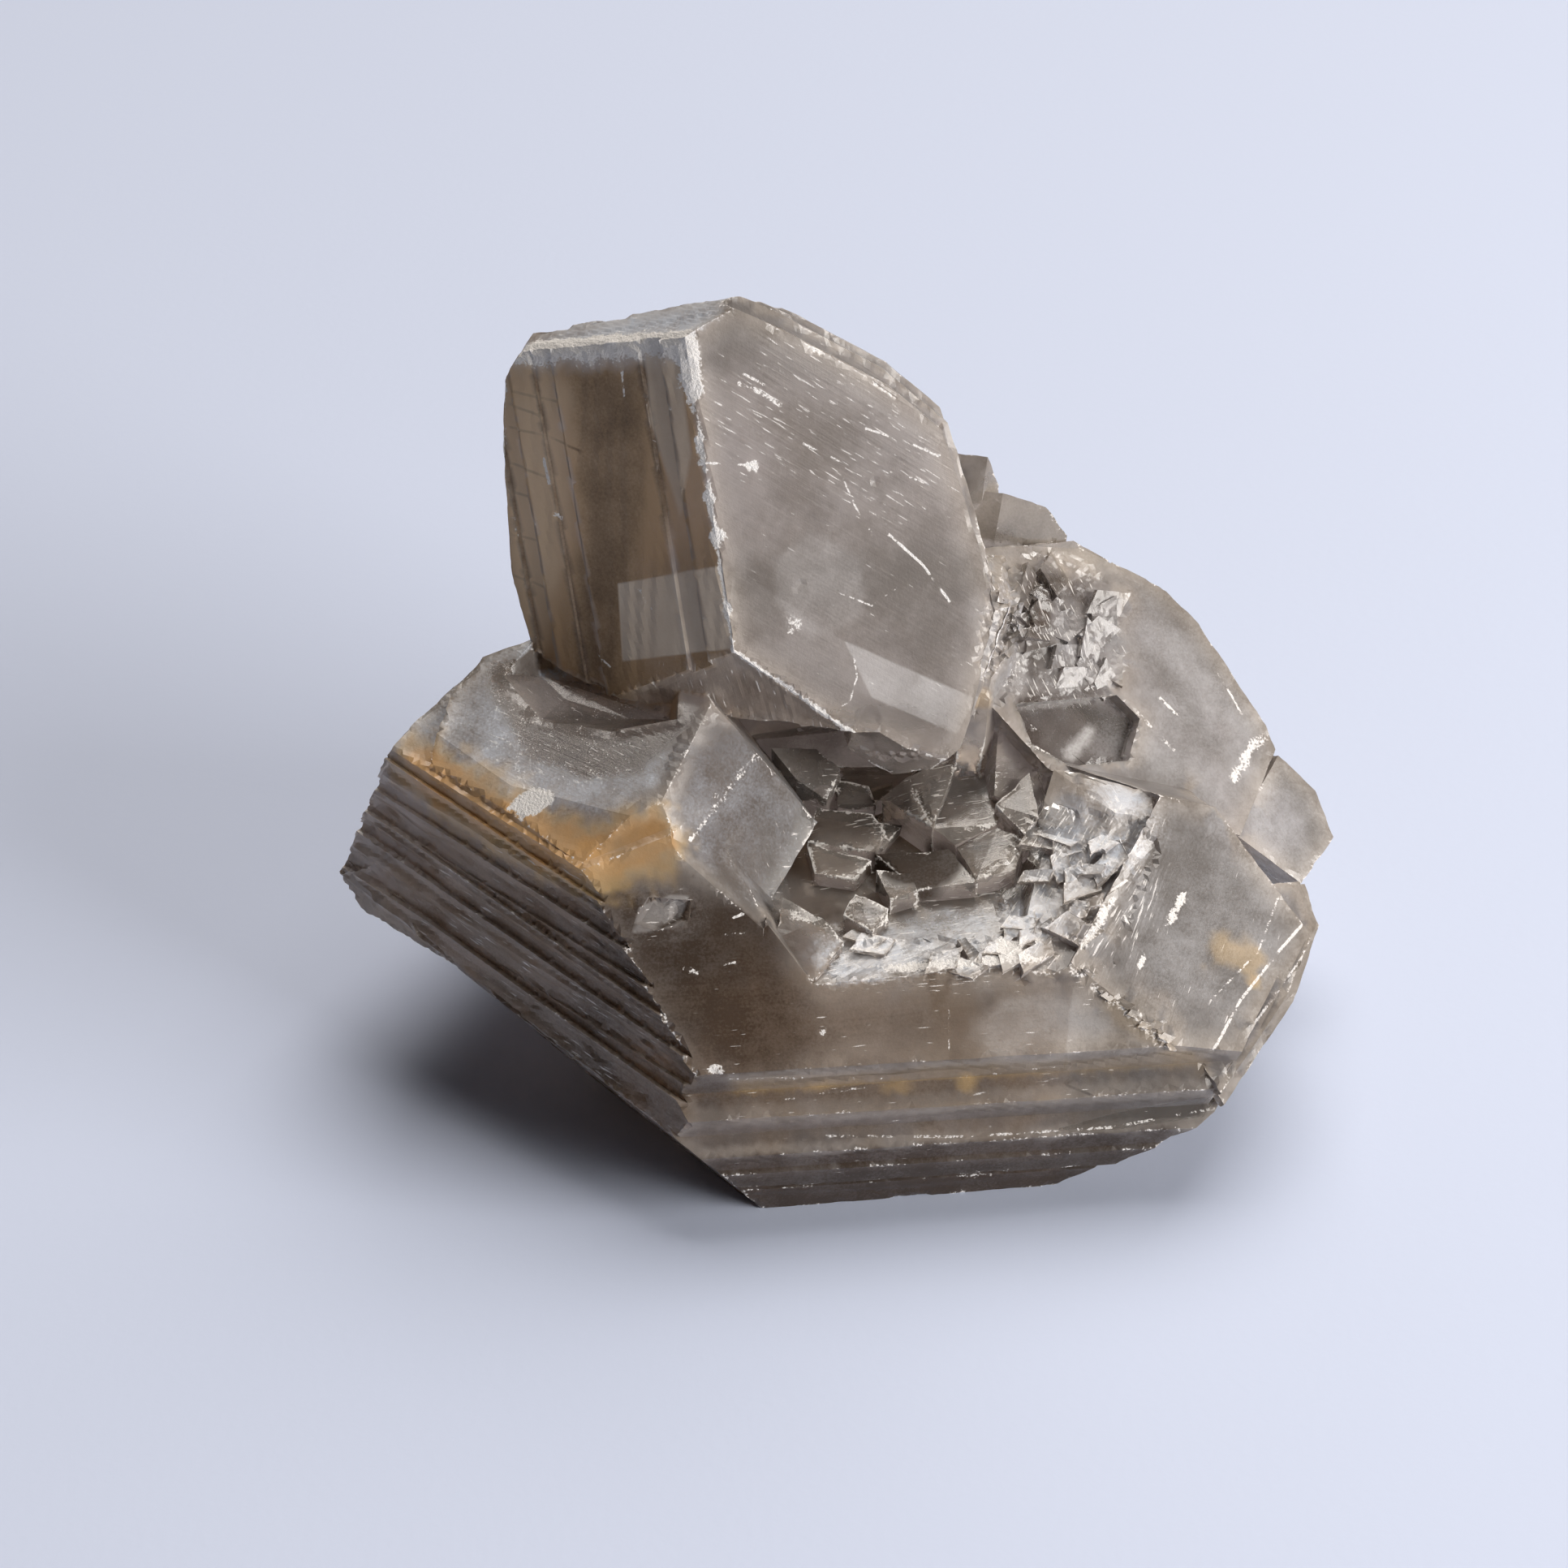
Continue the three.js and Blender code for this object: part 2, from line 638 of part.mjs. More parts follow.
// Rough ground: cleavage chips on the slope, on the hollow's floor and front edge, along the
// broken ridge of the right face, on the leaning crystal and in the crust.
const chips = [
  strew({
    count: 20,
    seed: 13,
    patch: [[17.5, -20, 24.2], [22.2, -19.4, 24.6], [29, -6.5, 29.8], [19.5, -3, 30]],
    size: 3,
    thick: 1,
    tilt: 0.25,
  }),
  strew({
    count: 14,
    seed: 23,
    patch: [[0, -22.4, 24.7], [20.5, -20.4, 24.7], [19, -15, 26.1], [2, -15, 26.3]],
    size: 2.4,
    thick: 0.5,
    tilt: 0.15,
  }),
  strew({
    count: 12,
    seed: 31,
    patch: [[-4, -6, 26.8], [17, -4, 27.2], [16, 8, 27.6], [-5, 8, 27.6]],
    size: 3.6,
    thick: 1.6,
    tilt: 0.35,
  }),
  strew({
    count: 10,
    seed: 43,
    patch: [[21.9, -20.1, 24.8], [32.8, -24.9, 17.3], [33.6, -24.2, 17.6], [23, -19.6, 24.9]],
    size: 1,
    thick: 0.35,
  }),
  strew({
    count: 20,
    seed: 57,
    patch: [[17.6, 4.6, 37.6], [29.6, 10.6, 34.9], [28.6, 20.6, 42.7], [17.4, 16.8, 46.7]],
    size: 3.4,
    thick: 0.8,
    tilt: 0.3,
    turn: 1.2,
  }),
  strew({
    count: 14,
    seed: 71,
    patch: [[13.6, 3.6, 41.4], [18, 7.6, 42.2], [18.4, 12, 46.4], [15.6, 9.6, 49.4]],
    size: 2.2,
    thick: 1.6,
    tilt: 0.8,
    turn: 1.5,
  }),
].flat();

const front = [upper, toe, lozenge, tipPlate, milky.subtract(dip)];
const behind = [leanPlate, leanFront, leanBody, lens, tip, rear, core, ...backSteps];
const small = [...shards, ...crust, ...plates, ...chips];
const grown = wasm.Manifold.union([...front, ...behind, ...small]);
const skins = grown.asOriginal().simplify(SLIVER).decompose();
// The outermost skin, without the pinholes that crystals enclose between them.
const cluster = skins.reduce((most, skin) => (skin.volume() > most.volume() ? skin : most));

// Stand the cluster on the origin.
const { min, max } = cluster.boundingBox();
const stood = cluster.translate([-(min[0] + max[0]) / 2, -(min[1] + max[1]) / 2, -min[2]]);

const material = new THREE.MeshStandardMaterial({
  color: 0xb3aba2,
  roughness: 0.25,
  metalness: 0,
  flatShading: true,
});
const gypsum = new THREE.Mesh(geometryOf(stood), material);
gypsum.name = "gypsum_cluster";
const group = new THREE.Group();
group.add(gypsum);
export default group;
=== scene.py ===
"""Looks of a smoky gypsum crystal cluster that stands on a pale floor.

The cluster is one natural piece. Its solid is cut into even small triangles, given the relief of its growth
ledges, cleavage breaks and chipped edges, and dressed in one see-through mineral whose clouds, stains and
bruises are worked out from where they lie on the crystal. Some of these are painted light and shade: shade
under the crystal, a glow along the edges, a highlight, glints and a sky reflection.
"""

import logging
import math
from dataclasses import dataclass, field
from enum import Enum, IntEnum
from itertools import product
from typing import ClassVar, Iterable, Optional, Sequence, Union

import bmesh
import bpy
import numpy as np
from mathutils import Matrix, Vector, geometry, kdtree


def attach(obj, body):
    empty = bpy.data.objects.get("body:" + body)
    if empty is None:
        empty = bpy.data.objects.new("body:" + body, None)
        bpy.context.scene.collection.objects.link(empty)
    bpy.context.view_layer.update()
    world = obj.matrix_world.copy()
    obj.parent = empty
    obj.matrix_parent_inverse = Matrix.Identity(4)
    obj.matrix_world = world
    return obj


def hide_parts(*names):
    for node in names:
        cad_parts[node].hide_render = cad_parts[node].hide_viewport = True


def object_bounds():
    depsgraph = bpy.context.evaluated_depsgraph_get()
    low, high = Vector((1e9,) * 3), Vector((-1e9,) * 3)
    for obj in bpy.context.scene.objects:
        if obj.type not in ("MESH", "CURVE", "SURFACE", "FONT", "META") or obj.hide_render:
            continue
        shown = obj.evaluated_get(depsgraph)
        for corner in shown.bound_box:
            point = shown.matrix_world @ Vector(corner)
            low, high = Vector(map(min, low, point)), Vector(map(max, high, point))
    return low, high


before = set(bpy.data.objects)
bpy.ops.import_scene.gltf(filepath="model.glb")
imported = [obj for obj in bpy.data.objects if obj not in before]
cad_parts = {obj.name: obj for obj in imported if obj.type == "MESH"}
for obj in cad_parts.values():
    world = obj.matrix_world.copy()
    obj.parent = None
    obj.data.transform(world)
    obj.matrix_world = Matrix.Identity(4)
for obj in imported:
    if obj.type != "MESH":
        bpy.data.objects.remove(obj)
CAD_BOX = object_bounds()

LOG = logging.getLogger("gypsum")
NODE = "gypsum_cluster"
MM = 0.001
Vec3 = tuple[float, float, float]
Chain = tuple[Vec3, ...]
Area = tuple[Vec3, Vec3]


def linear(code: str) -> tuple[float, float, float, float]:
    """Turn an sRGB hex colour into linear light.

    Args:
        code: Six hex digits, such as "b3aba2".

    Returns:
        Red, green, blue and an alpha of 1.
    """
    parts = [int(code[i : i + 2], 16) / 255 for i in (0, 2, 4)]
    light = [c / 12.92 if c <= 0.04045 else ((c + 0.055) / 1.055) ** 2.4 for c in parts]
    return (light[0], light[1], light[2], 1.0)


def add_node(
    tree: bpy.types.NodeTree,
    kind: str,
    inputs: Optional[dict[Union[str, int], object]] = None,
    **settings: object,
) -> bpy.types.Node:
    """Add one shader node, set it up and feed its inputs.

    Args:
        tree: The node tree that gets the node.
        kind: The node's type, without its "ShaderNode" prefix.
        inputs: For each input's name or number, a value, a socket or a node. A node feeds the input with its
            first output that is in use.
        **settings: Properties of the node, set before its inputs.

    Returns:
        The new node.
    """
    node = tree.nodes.new("ShaderNode" + kind)
    for name, value in settings.items():
        setattr(node, name, value)
    for name, value in (inputs or {}).items():
        if isinstance(name, int):
            socket = node.inputs[name]
        else:
            socket = next(s for s in node.inputs if s.name == name and s.enabled)
        if isinstance(value, bpy.types.Node):
            value = next(s for s in value.outputs if s.enabled)
        if isinstance(value, bpy.types.NodeSocket):
            tree.links.new(value, socket)
        else:
            socket.default_value = value
    return node


def unit(vector: Sequence[float]) -> np.ndarray:
    """Scale a vector to length 1."""
    v = np.asarray(vector, float)
    return v / max(float(np.linalg.norm(v)), 1e-12)


def ease(low: float, high: float, value: np.ndarray) -> np.ndarray:
    """Run smoothly from 0 at low to 1 at high; low may be the larger of the two."""
    t = np.clip((value - low) / (high - low), 0.0, 1.0)
    return t * t * (3.0 - 2.0 * t)


def off_segment(points: np.ndarray, a: np.ndarray, b: np.ndarray) -> np.ndarray:
    """Measure how far points are from a straight line.

    Args:
        points: Places, one a row.
        a: One end of the line.
        b: Its other end.

    Returns:
        Each point's distance to the line.
    """
    side = b - a
    along = np.clip(((points - a) @ side) / max(float(side @ side), 1e-12), 0.0, 1.0)
    return np.linalg.norm(points - a - along[:, None] * side, axis=1)


def off_chain(points: np.ndarray, chain: np.ndarray) -> np.ndarray:
    """Give each point's distance to a chain of straight lines."""
    return np.minimum.reduce([off_segment(points, a, b) for a, b in zip(chain[:-1], chain[1:])])


def inside_depth(points: np.ndarray, corners: np.ndarray) -> np.ndarray:
    """Measure how deep flat points lie inside a polygon.

    Args:
        points: Flat points, one a row.
        corners: The polygon's corners in order.

    Returns:
        Each point's distance to the outline, negative outside it.
    """
    within = np.zeros(len(points), bool)
    nearest = np.full(len(points), 1e9)
    for a, b in zip(corners, np.roll(corners, -1, 0)):
        nearest = np.minimum(nearest, off_segment(points, a, b))
        side = b - a
        spans = (a[1] > points[:, 1]) != (b[1] > points[:, 1])
        rise = side[1] if abs(side[1]) > 1e-12 else 1e-12
        within ^= spans & (points[:, 0] < a[0] + side[0] * (points[:, 1] - a[1]) / rise)
    return np.where(within, nearest, -nearest)


def flat_axes(normal: np.ndarray) -> tuple[np.ndarray, np.ndarray]:
    """Give two directions that lie in the plane across a normal, at right angles."""
    first = unit(np.cross(normal, (0.31, 0.72, 0.62) if abs(normal[1]) < 0.8 else (0.9, 0.1, 0.2)))
    return first, np.cross(normal, first)


class Noise:
    """Repeatable noise for many points at once, from hashed lattice cells."""

    # Large odd numbers that stir the bits of a cell's three places and of the seed.
    STIR = tuple(np.uint64(n) for n in (0x9E3779B185EBCA87, 0xC2B2AE3D27D4EB4F, 0x165667B19E3779F9))
    STIR_SEED = np.uint64(0x27D4EB2F165667C5)
    STIR_LAST = np.uint64(0xBF58476D1CE4E5B9)
    LOW_BITS = np.uint64(0xFFFFFF)
    # Each finer layer of noise is a little over twice as fine, so that the layers' cells never line up.
    FINER = 2.03
    SHIFT = 7.1

    @staticmethod
    def lattice(cells: np.ndarray, seed: int) -> np.ndarray:
        """Give every integer cell a number from 0 to 1.

        Args:
            cells: Integer cell places, three to a row.
            seed: Picks one of many fields.

        Returns:
            One number a cell.
        """
        c = cells.astype(np.int64).astype(np.uint64)
        h = c[..., 0] * Noise.STIR[0]
        h ^= c[..., 1] * Noise.STIR[1]
        h ^= c[..., 2] * Noise.STIR[2]
        h ^= np.uint64(seed) * Noise.STIR_SEED
        h ^= h >> np.uint64(29)
        h = h * Noise.STIR_LAST
        h ^= h >> np.uint64(32)
        return (h & Noise.LOW_BITS).astype(float) / float(Noise.LOW_BITS)

    @classmethod
    def smooth(cls, points: np.ndarray, seed: int) -> np.ndarray:
        """Blend the lattice numbers round each point into soft noise.

        Args:
            points: Places, three numbers a row.
            seed: Picks one of many fields.

        Returns:
            One number a point, from 0 to 1.
        """
        base = np.floor(points)
        part = points - base
        part = part * part * (3.0 - 2.0 * part)
        total = np.zeros(len(points))
        for corner in product((0, 1), repeat=3):
            share = np.prod(np.where(corner, part, 1.0 - part), axis=1)
            total += share * cls.lattice(base + corner, seed)
        return total

    @classmethod
    def layered(cls, points: np.ndarray, seed: int, octaves: int = 3) -> np.ndarray:
        """Add finer and weaker copies of the soft noise to itself.

        Args:
            points: Places, three numbers a row.
            seed: Picks one of many fields.
            octaves: How many copies, each half as strong as the last.

        Returns:
            One number a point, from 0 to 1.
        """
        total, weight, size = np.zeros(len(points)), 0.0, 1.0
        for k in range(octaves):
            total += size * cls.smooth(points * cls.FINER**k + cls.SHIFT * k, seed + k)
            weight += size
            size *= 0.5
        return total / weight

    @classmethod
    def cells(cls, points: np.ndarray, seed: int) -> tuple[np.ndarray, np.ndarray]:
        """Find the nearest of one scattered seed point a cell.

        Args:
            points: Places, three numbers a row.
            seed: Picks one of many scatters.

        Returns:
            The distance to the nearest seed point, and a number from 0 to 1 that names it.
        """
        base = np.floor(points)
        best, name = np.full(len(points), 9.0), np.zeros(len(points))
        for step in product((-1, 0, 1), repeat=3):
            cell = base + step
            spot = cell + np.stack([cls.lattice(cell, seed + k) for k in range(3)], 1)
            gap = np.linalg.norm(points - spot, axis=1)
            nearer = gap < best
            best = np.where(nearer, gap, best)
            name = np.where(nearer, cls.lattice(cell, seed + 5), name)
        return best, name


class Seed(IntEnum):
    """Which field of noise each pattern is drawn from."""

    SWELL = 11
    OUTLINE = 31
    CLOUD = 41
    VEIL = 43
    SEAM_EDGE = 47
    SEAM_GAPS = 53
    STROKE_GAPS = 59
    WORN = 61
    PITS = 71
    LEDGE_SWAY = 81
    LEDGE_HEIGHT = 83
    FIBRES = 91
    FIBRE_SWAY = 93
    FOLDS = 95
    FINE_FOLDS = 97
    BUNDLES = 99
    SUGAR = 111
    SUGAR_LUMPS = 113
    CHIPS = 121


class Habit(Enum):
    """How a face grew or broke, which sets its relief."""

    SMOOTH = "smooth growth face with a few pits"
    LEDGED = "growth ledges that run with the grain"
    FIBROUS = "fine fibres that run with the grain"
    SHARDED = "glassy cleavage shards"
    SUGARY = "crushed grains"


class Tone(Enum):
    """What clouds, stains or marks the crystal at a place, kept as one number a point. Some of it is painted
    light and shade: umber also paints shade under the crystal, pale a glow along edges and a highlight in the
    lens, pale and milk a sky reflection on the top strip, and frost and wisp glints in the hollow.
    """

    FROST = "frost"
    MILK = "milk"
    IRON = "iron"
    UMBER = "umber"
    TEA = "tea"
    PALE = "pale"
    CLEAR = "clear"
    WISP = "wisp"
    ETCH = "etch"


class Cut(Enum):
    """How far apart the skin's points lie, in mm."""

    FINE = 0.42
    PLAIN = 0.62
    WIDE = 1.3


@dataclass(frozen=True)
class Face:
    """One face or broken area of the cluster, in mm.

    A grown face has a normal and reaches as far as its crystal. A broken area has none and ends at its reach.

    Attributes:
        name: What it is called.
        habit: How it grew or broke.
        centre: Its middle.
        reach: How far it extends along x, y and z.
        grain: The way its fibres and growth lines run.
        normal: The direction a grown face looks in.
        cut: How finely its skin is cut.
        relief: How strong its relief is.
        step: The distance between its growth ledges.
        wear_and_glow: How white its edges are worn, and how strong the painted glow and stain along them are.
        crumble: How deep its edges are chipped.
    """

    TURN_COST: ClassVar[float] = 6.0
    OUT_OF_REACH: ClassVar[float] = 50.0
    BREAK_DRAW: ClassVar[float] = 0.8
    NEAR: ClassVar[float] = 1.2
    WOBBLE: ClassVar[float] = 0.3
    WOBBLE_MM: ClassVar[float] = 2.4

    name: str
    habit: Habit
    centre: Vec3
    reach: Vec3
    grain: Vec3
    normal: Optional[Vec3] = None
    cut: Cut = Cut.PLAIN
    relief: float = 1.0
    step: float = 2.3
    wear_and_glow: float = 1.0
    crumble: float = 1.0

    def misfit(self, centres: np.ndarray, normals: np.ndarray) -> np.ndarray:
        """Score how badly flat patches fit this face.

        Args:
            centres: The middles of the patches.
            normals: The directions they face.

        Returns:
            One score a patch, 0 for a perfect fit.
        """
        away = np.linalg.norm((centres - self.centre) / np.asarray(self.reach), axis=1)
        if self.normal is None:
            near = away < self.NEAR
            if near.any():
                wobble = Noise.layered(centres[near] / self.WOBBLE_MM, Seed.OUTLINE) - 0.5
                away[near] += self.WOBBLE * wobble
            return np.where(away < 1.0, self.BREAK_DRAW * away, self.OUT_OF_REACH + away)
        return away + self.TURN_COST * (1.0 - normals @ unit(self.normal))


@dataclass(frozen=True)
class Patch:
    """One place on or in the crystal that has more of one tone."""

    tone: Tone

    def cover(self, points: np.ndarray, normals: np.ndarray) -> np.ndarray:
        """Work out the share of the tone at each point.

        Args:
            points: Places on the crystal, in mm.
            normals: The directions they face.

        Returns:
            A number from 0 to the patch's weight for each point.
        """
        raise NotImplementedError

    def guides(self) -> tuple[np.ndarray, tuple[float, ...]]:
        """Name the lines that the skin has to be cut along for a crisp edge.

        Returns:
            The chain of corners to follow, and how far to each side of it points are set.
        """
        return np.zeros((0, 3)), ()


@dataclass(frozen=True)
class Cloud(Patch):
    """A soft round patch inside or on the crystal, in mm.

    Attributes:
        centre: Its middle.
        reach: How far it extends along x, y and z.
        weight: Its share in the middle; a negative one takes away what is there.
        facing: The direction that a face has to look in to get it, if not all do.
        ragged: How uneven its outline is.
        soft: How slowly it fades out.
    """

    RAGGED_MM: ClassVar[float] = 3.0
    FACING_EDGE: ClassVar[tuple[float, float]] = (0.68, 0.88)

    centre: Vec3
    reach: Vec3
    weight: float = 1.0
    facing: Optional[Vec3] = None
    ragged: float = 0.35
    soft: float = 0.5

    def cover(self, points: np.ndarray, normals: np.ndarray) -> np.ndarray:
        """Fade the tone out from the middle of the cloud.

        Args:
            points: Places on the crystal, in mm.
            normals: The directions they face.

        Returns:
            The share of the tone at each point.
        """
        away = np.linalg.norm((points - self.centre) / np.asarray(self.reach), axis=1)
        away += self.ragged * (Noise.layered(points / self.RAGGED_MM, Seed.CLOUD) - 0.5) * 2.0
        share = self.weight * ease(1.0 + self.soft / 2, 1.0 - self.soft / 2, away)
        if self.facing is not None:
            share = share * ease(*self.FACING_EDGE, normals @ unit(self.facing))
        return share


@dataclass(frozen=True)
class Veil(Patch):
    """A patch with a clean outline on one face, such as an inner cleavage sheet, in mm.

    Attributes:
        corners: Its outline.
        weight: Its share of the tone inside.
        soft: How far its edge fades.
        depth: How far off its plane it still shows.
        crisp_below: The softness below which the skin is cut along the outline.
    """

    WAVE_MM: ClassVar[float] = 1.7
    FULL_DEPTH: ClassVar[float] = 0.6
    FACING_EDGE: ClassVar[tuple[float, float]] = (0.55, 0.75)

    corners: Chain
    weight: float = 1.0
    soft: float = 0.12
    depth: float = 2.5
    crisp_below: float = 0.3

    def guides(self) -> tuple[np.ndarray, tuple[float, ...]]:
        """Follow the outline where the edge is crisp.

        Returns:
            The chain to follow, and how far to each side of it points are set.
        """
        if self.soft > self.crisp_below:
            return super().guides()
        return np.asarray(self.corners + self.corners[:1], float), (-self.soft, self.soft)

    def cover(self, points: np.ndarray, normals: np.ndarray) -> np.ndarray:
        """Fill the outline with the tone.

        Args:
            points: Places on the crystal, in mm.
            normals: The directions they face.

        Returns:
            The share of the tone at each point.
        """
        ring = np.asarray(self.corners, float)
        middle = ring.mean(0)
        facing = np.zeros(3)
        for a, b in zip(ring, np.roll(ring, -1, 0)):
            facing += np.cross(a - middle, b - middle)
        facing = unit(facing)
        first, second = flat_axes(facing)
        flat = np.stack([(points - middle) @ first, (points - middle) @ second], 1)
        outline = np.stack([(ring - middle) @ first, (ring - middle) @ second], 1)
        wave = 0.5 * min(self.soft, 1.0) * (Noise.layered(points / self.WAVE_MM, Seed.VEIL) - 0.5)
        deep = inside_depth(flat, outline) + (wave if self.soft > self.crisp_below else 0.0)
        near = ease(self.depth, self.depth * self.FULL_DEPTH, np.abs((points - middle) @ facing))
        turned = ease(*self.FACING_EDGE, np.abs(normals @ facing))
        return self.weight * ease(-self.soft, self.soft, deep) * near * turned


@dataclass(frozen=True)
class Stroke(Patch):
    """A scratch, dash or fine line on one face, in mm.

    Attributes:
        chain: The points that it runs through.
        facing: The direction that its face looks in.
        wide: Half its width.
        weight: Its share of the tone.
        depth: How far above or below its chain it still shows.
        fade: How far beside it the tone fades out.
    """

    LEAST_FACING: ClassVar[float] = 0.6
    GAP_MM: ClassVar[float] = 1.2
    GAP_EDGE: ClassVar[tuple[float, float]] = (0.30, 0.55)

    chain: Chain
    facing: Vec3
    wide: float
    weight: float
    depth: float = 1.6
    fade: float = 0.12

    def guides(self) -> tuple[np.ndarray, tuple[float, ...]]:
        """Follow both sides of the line.

        Returns:
            The chain to follow, and how far to each side of it points are set.
        """
        far = self.wide + self.fade
        return np.asarray(self.chain, float), (-far, -self.wide, self.wide, far)

    def cover(self, points: np.ndarray, normals: np.ndarray) -> np.ndarray:
        """Lay the tone within the line's width.

        Args:
            points: Places on the crystal, in mm.
            normals: The directions they face.

        Returns:
            The share of the tone at each point.
        """
        facing = unit(self.facing)
        chain = np.asarray(self.chain, float)
        high = (points - chain.mean(0)) @ facing
        level = points - high[:, None] * facing
        chain = chain - ((chain - chain.mean(0)) @ facing)[:, None] * facing
        nearest = off_chain(level, chain)
        inside = (np.abs(high) < self.depth) & (normals @ facing > self.LEAST_FACING)
        gaps = 0.4 + 0.6 * ease(*self.GAP_EDGE, Noise.layered(points / self.GAP_MM, Seed.STROKE_GAPS))
        return self.weight * ease(self.wide + self.fade, self.wide, nearest) * gaps * inside


@dataclass(frozen=True)
class Seam(Patch):
    """A bruised or stained edge that follows a chain of corners, in mm.

    Attributes:
        chain: The corners that it follows.
        wide: About how far it reaches to each side.
        weight: Its share of the tone on the chain.
        patchy: How much of it is left out in gaps.
        facing: The direction that a face has to look in to get it, if not all do.
    """

    RAGGED_MM: ClassVar[float] = 1.1
    REACH: ClassVar[tuple[float, float]] = (1.3, 0.4)
    GAP_MM: ClassVar[float] = 2.6
    GAP_FADE: ClassVar[tuple[float, float]] = (0.22, 0.12)
    FACING_EDGE: ClassVar[tuple[float, float]] = (0.62, 0.8)

    chain: Chain
    wide: float
    weight: float
    patchy: float
    facing: Optional[Vec3] = None

    def cover(self, points: np.ndarray, normals: np.ndarray) -> np.ndarray:
        """Fade the tone out from the chain, with ragged gaps.

        Args:
            points: Places on the crystal, in mm.
            normals: The directions they face.

        Returns:
            The share of the tone at each point.
        """
        nearest = off_chain(points, np.asarray(self.chain, float))
        ragged = 0.45 + 1.1 * Noise.layered(points / self.RAGGED_MM, Seed.SEAM_EDGE)
        here = ease(*self.REACH, nearest / (self.wide * ragged))
        low, high = self.GAP_FADE
        gaps = Noise.layered(points / self.GAP_MM, Seed.SEAM_GAPS) + low
        gaps = ease(self.patchy - low, self.patchy + high, gaps)
        turned = 1.0 if self.facing is None else ease(*self.FACING_EDGE, normals @ unit(self.facing))
        return self.weight * here * gaps * turned


@dataclass
class FineMesh:
    """The crystal's skin cut into small triangles, in mm in the crystal's own sketch frame.

    Attributes:
        points: The corners of the triangles, one a row.
        triangles: Three point numbers a row.
        facing: The direction that each triangle's flat face looks in.
        owner: For each triangle, the number of its face in the table.
    """

    points: np.ndarray
    triangles: np.ndarray
    facing: np.ndarray
    owner: np.ndarray

    def centres(self) -> np.ndarray:
        """Give the middle of every triangle."""
        return self.points[self.triangles].mean(1)

    def point_normals(self) -> np.ndarray:
        """Average the flat directions of the triangles round each point.

        Returns:
            One direction a point.
        """
        total = np.zeros_like(self.points)
        for k in range(3):
            np.add.at(total, self.triangles[:, k], self.facing)
        return total / np.maximum(np.linalg.norm(total, axis=1), 1e-9)[:, None]

    def to_points(self, amounts: Sequence[float]) -> np.ndarray:
        """Pass the faces' numbers on to the points of their triangles.

        Args:
            amounts: One number for each face in the table.

        Returns:
            One number a point.
        """
        given = np.zeros(len(self.points))
        for k in range(3):
            given[self.triangles[:, k]] = np.asarray(amounts, float)[self.owner]
        return given

    def without_folds(self) -> "FineMesh":
        """Leave out triangles that lie back to back on another with the same corners.

        Returns:
            The mesh that is left.
        """
        sorted_rows = np.sort(self.triangles, 1)
        _, group, count = np.unique(sorted_rows, axis=0, return_inverse=True, return_counts=True)
        kept = count[group.ravel()] == 1
        return FineMesh(self.points, self.triangles[kept], self.facing[kept], self.owner[kept])


def pulled(
    tree: bpy.types.NodeTree,
    start: Union[float, bpy.types.Node],
    pulls: Iterable[tuple[Union[bpy.types.Node, bpy.types.NodeSocket], float]],
) -> bpy.types.Node:
    """Raise or lower an amount wherever other amounts are strong, and keep it between 0 and 1.

    Args:
        tree: The node tree that gets the sum.
        start: The amount before.
        pulls: Other amounts, each with how far it pulls at its full strength.

    Returns:
        The last node of the sum.
    """
    for amount, pull in pulls:
        start = add_node(
            tree, "Math", {0: amount, 1: pull, 2: start}, operation="MULTIPLY_ADD", use_clamp=True
        )
    return start


@dataclass(frozen=True)
class Patterns:
    """The sockets that the parts of the gypsum's material read.

    Attributes:
        tone: How strong each tone is.
        broken: 1 on broken areas.
        cloud: Slow clouds.
        mottle: Blotches.
        flake: Flakes.
        grit: The finest grit.
        line: Growth lines, which run with each face's grain.
        hair: Fine hairs with the grain.
        dash: Short dashes with the grain.
    """

    tone: dict[Tone, bpy.types.NodeSocket]
    broken: bpy.types.NodeSocket
    cloud: bpy.types.NodeSocket
    mottle: bpy.types.NodeSocket
    flake: bpy.types.NodeSocket
    grit: bpy.types.NodeSocket
    line: bpy.types.NodeSocket
    hair: bpy.types.NodeSocket
    dash: bpy.types.NodeSocket


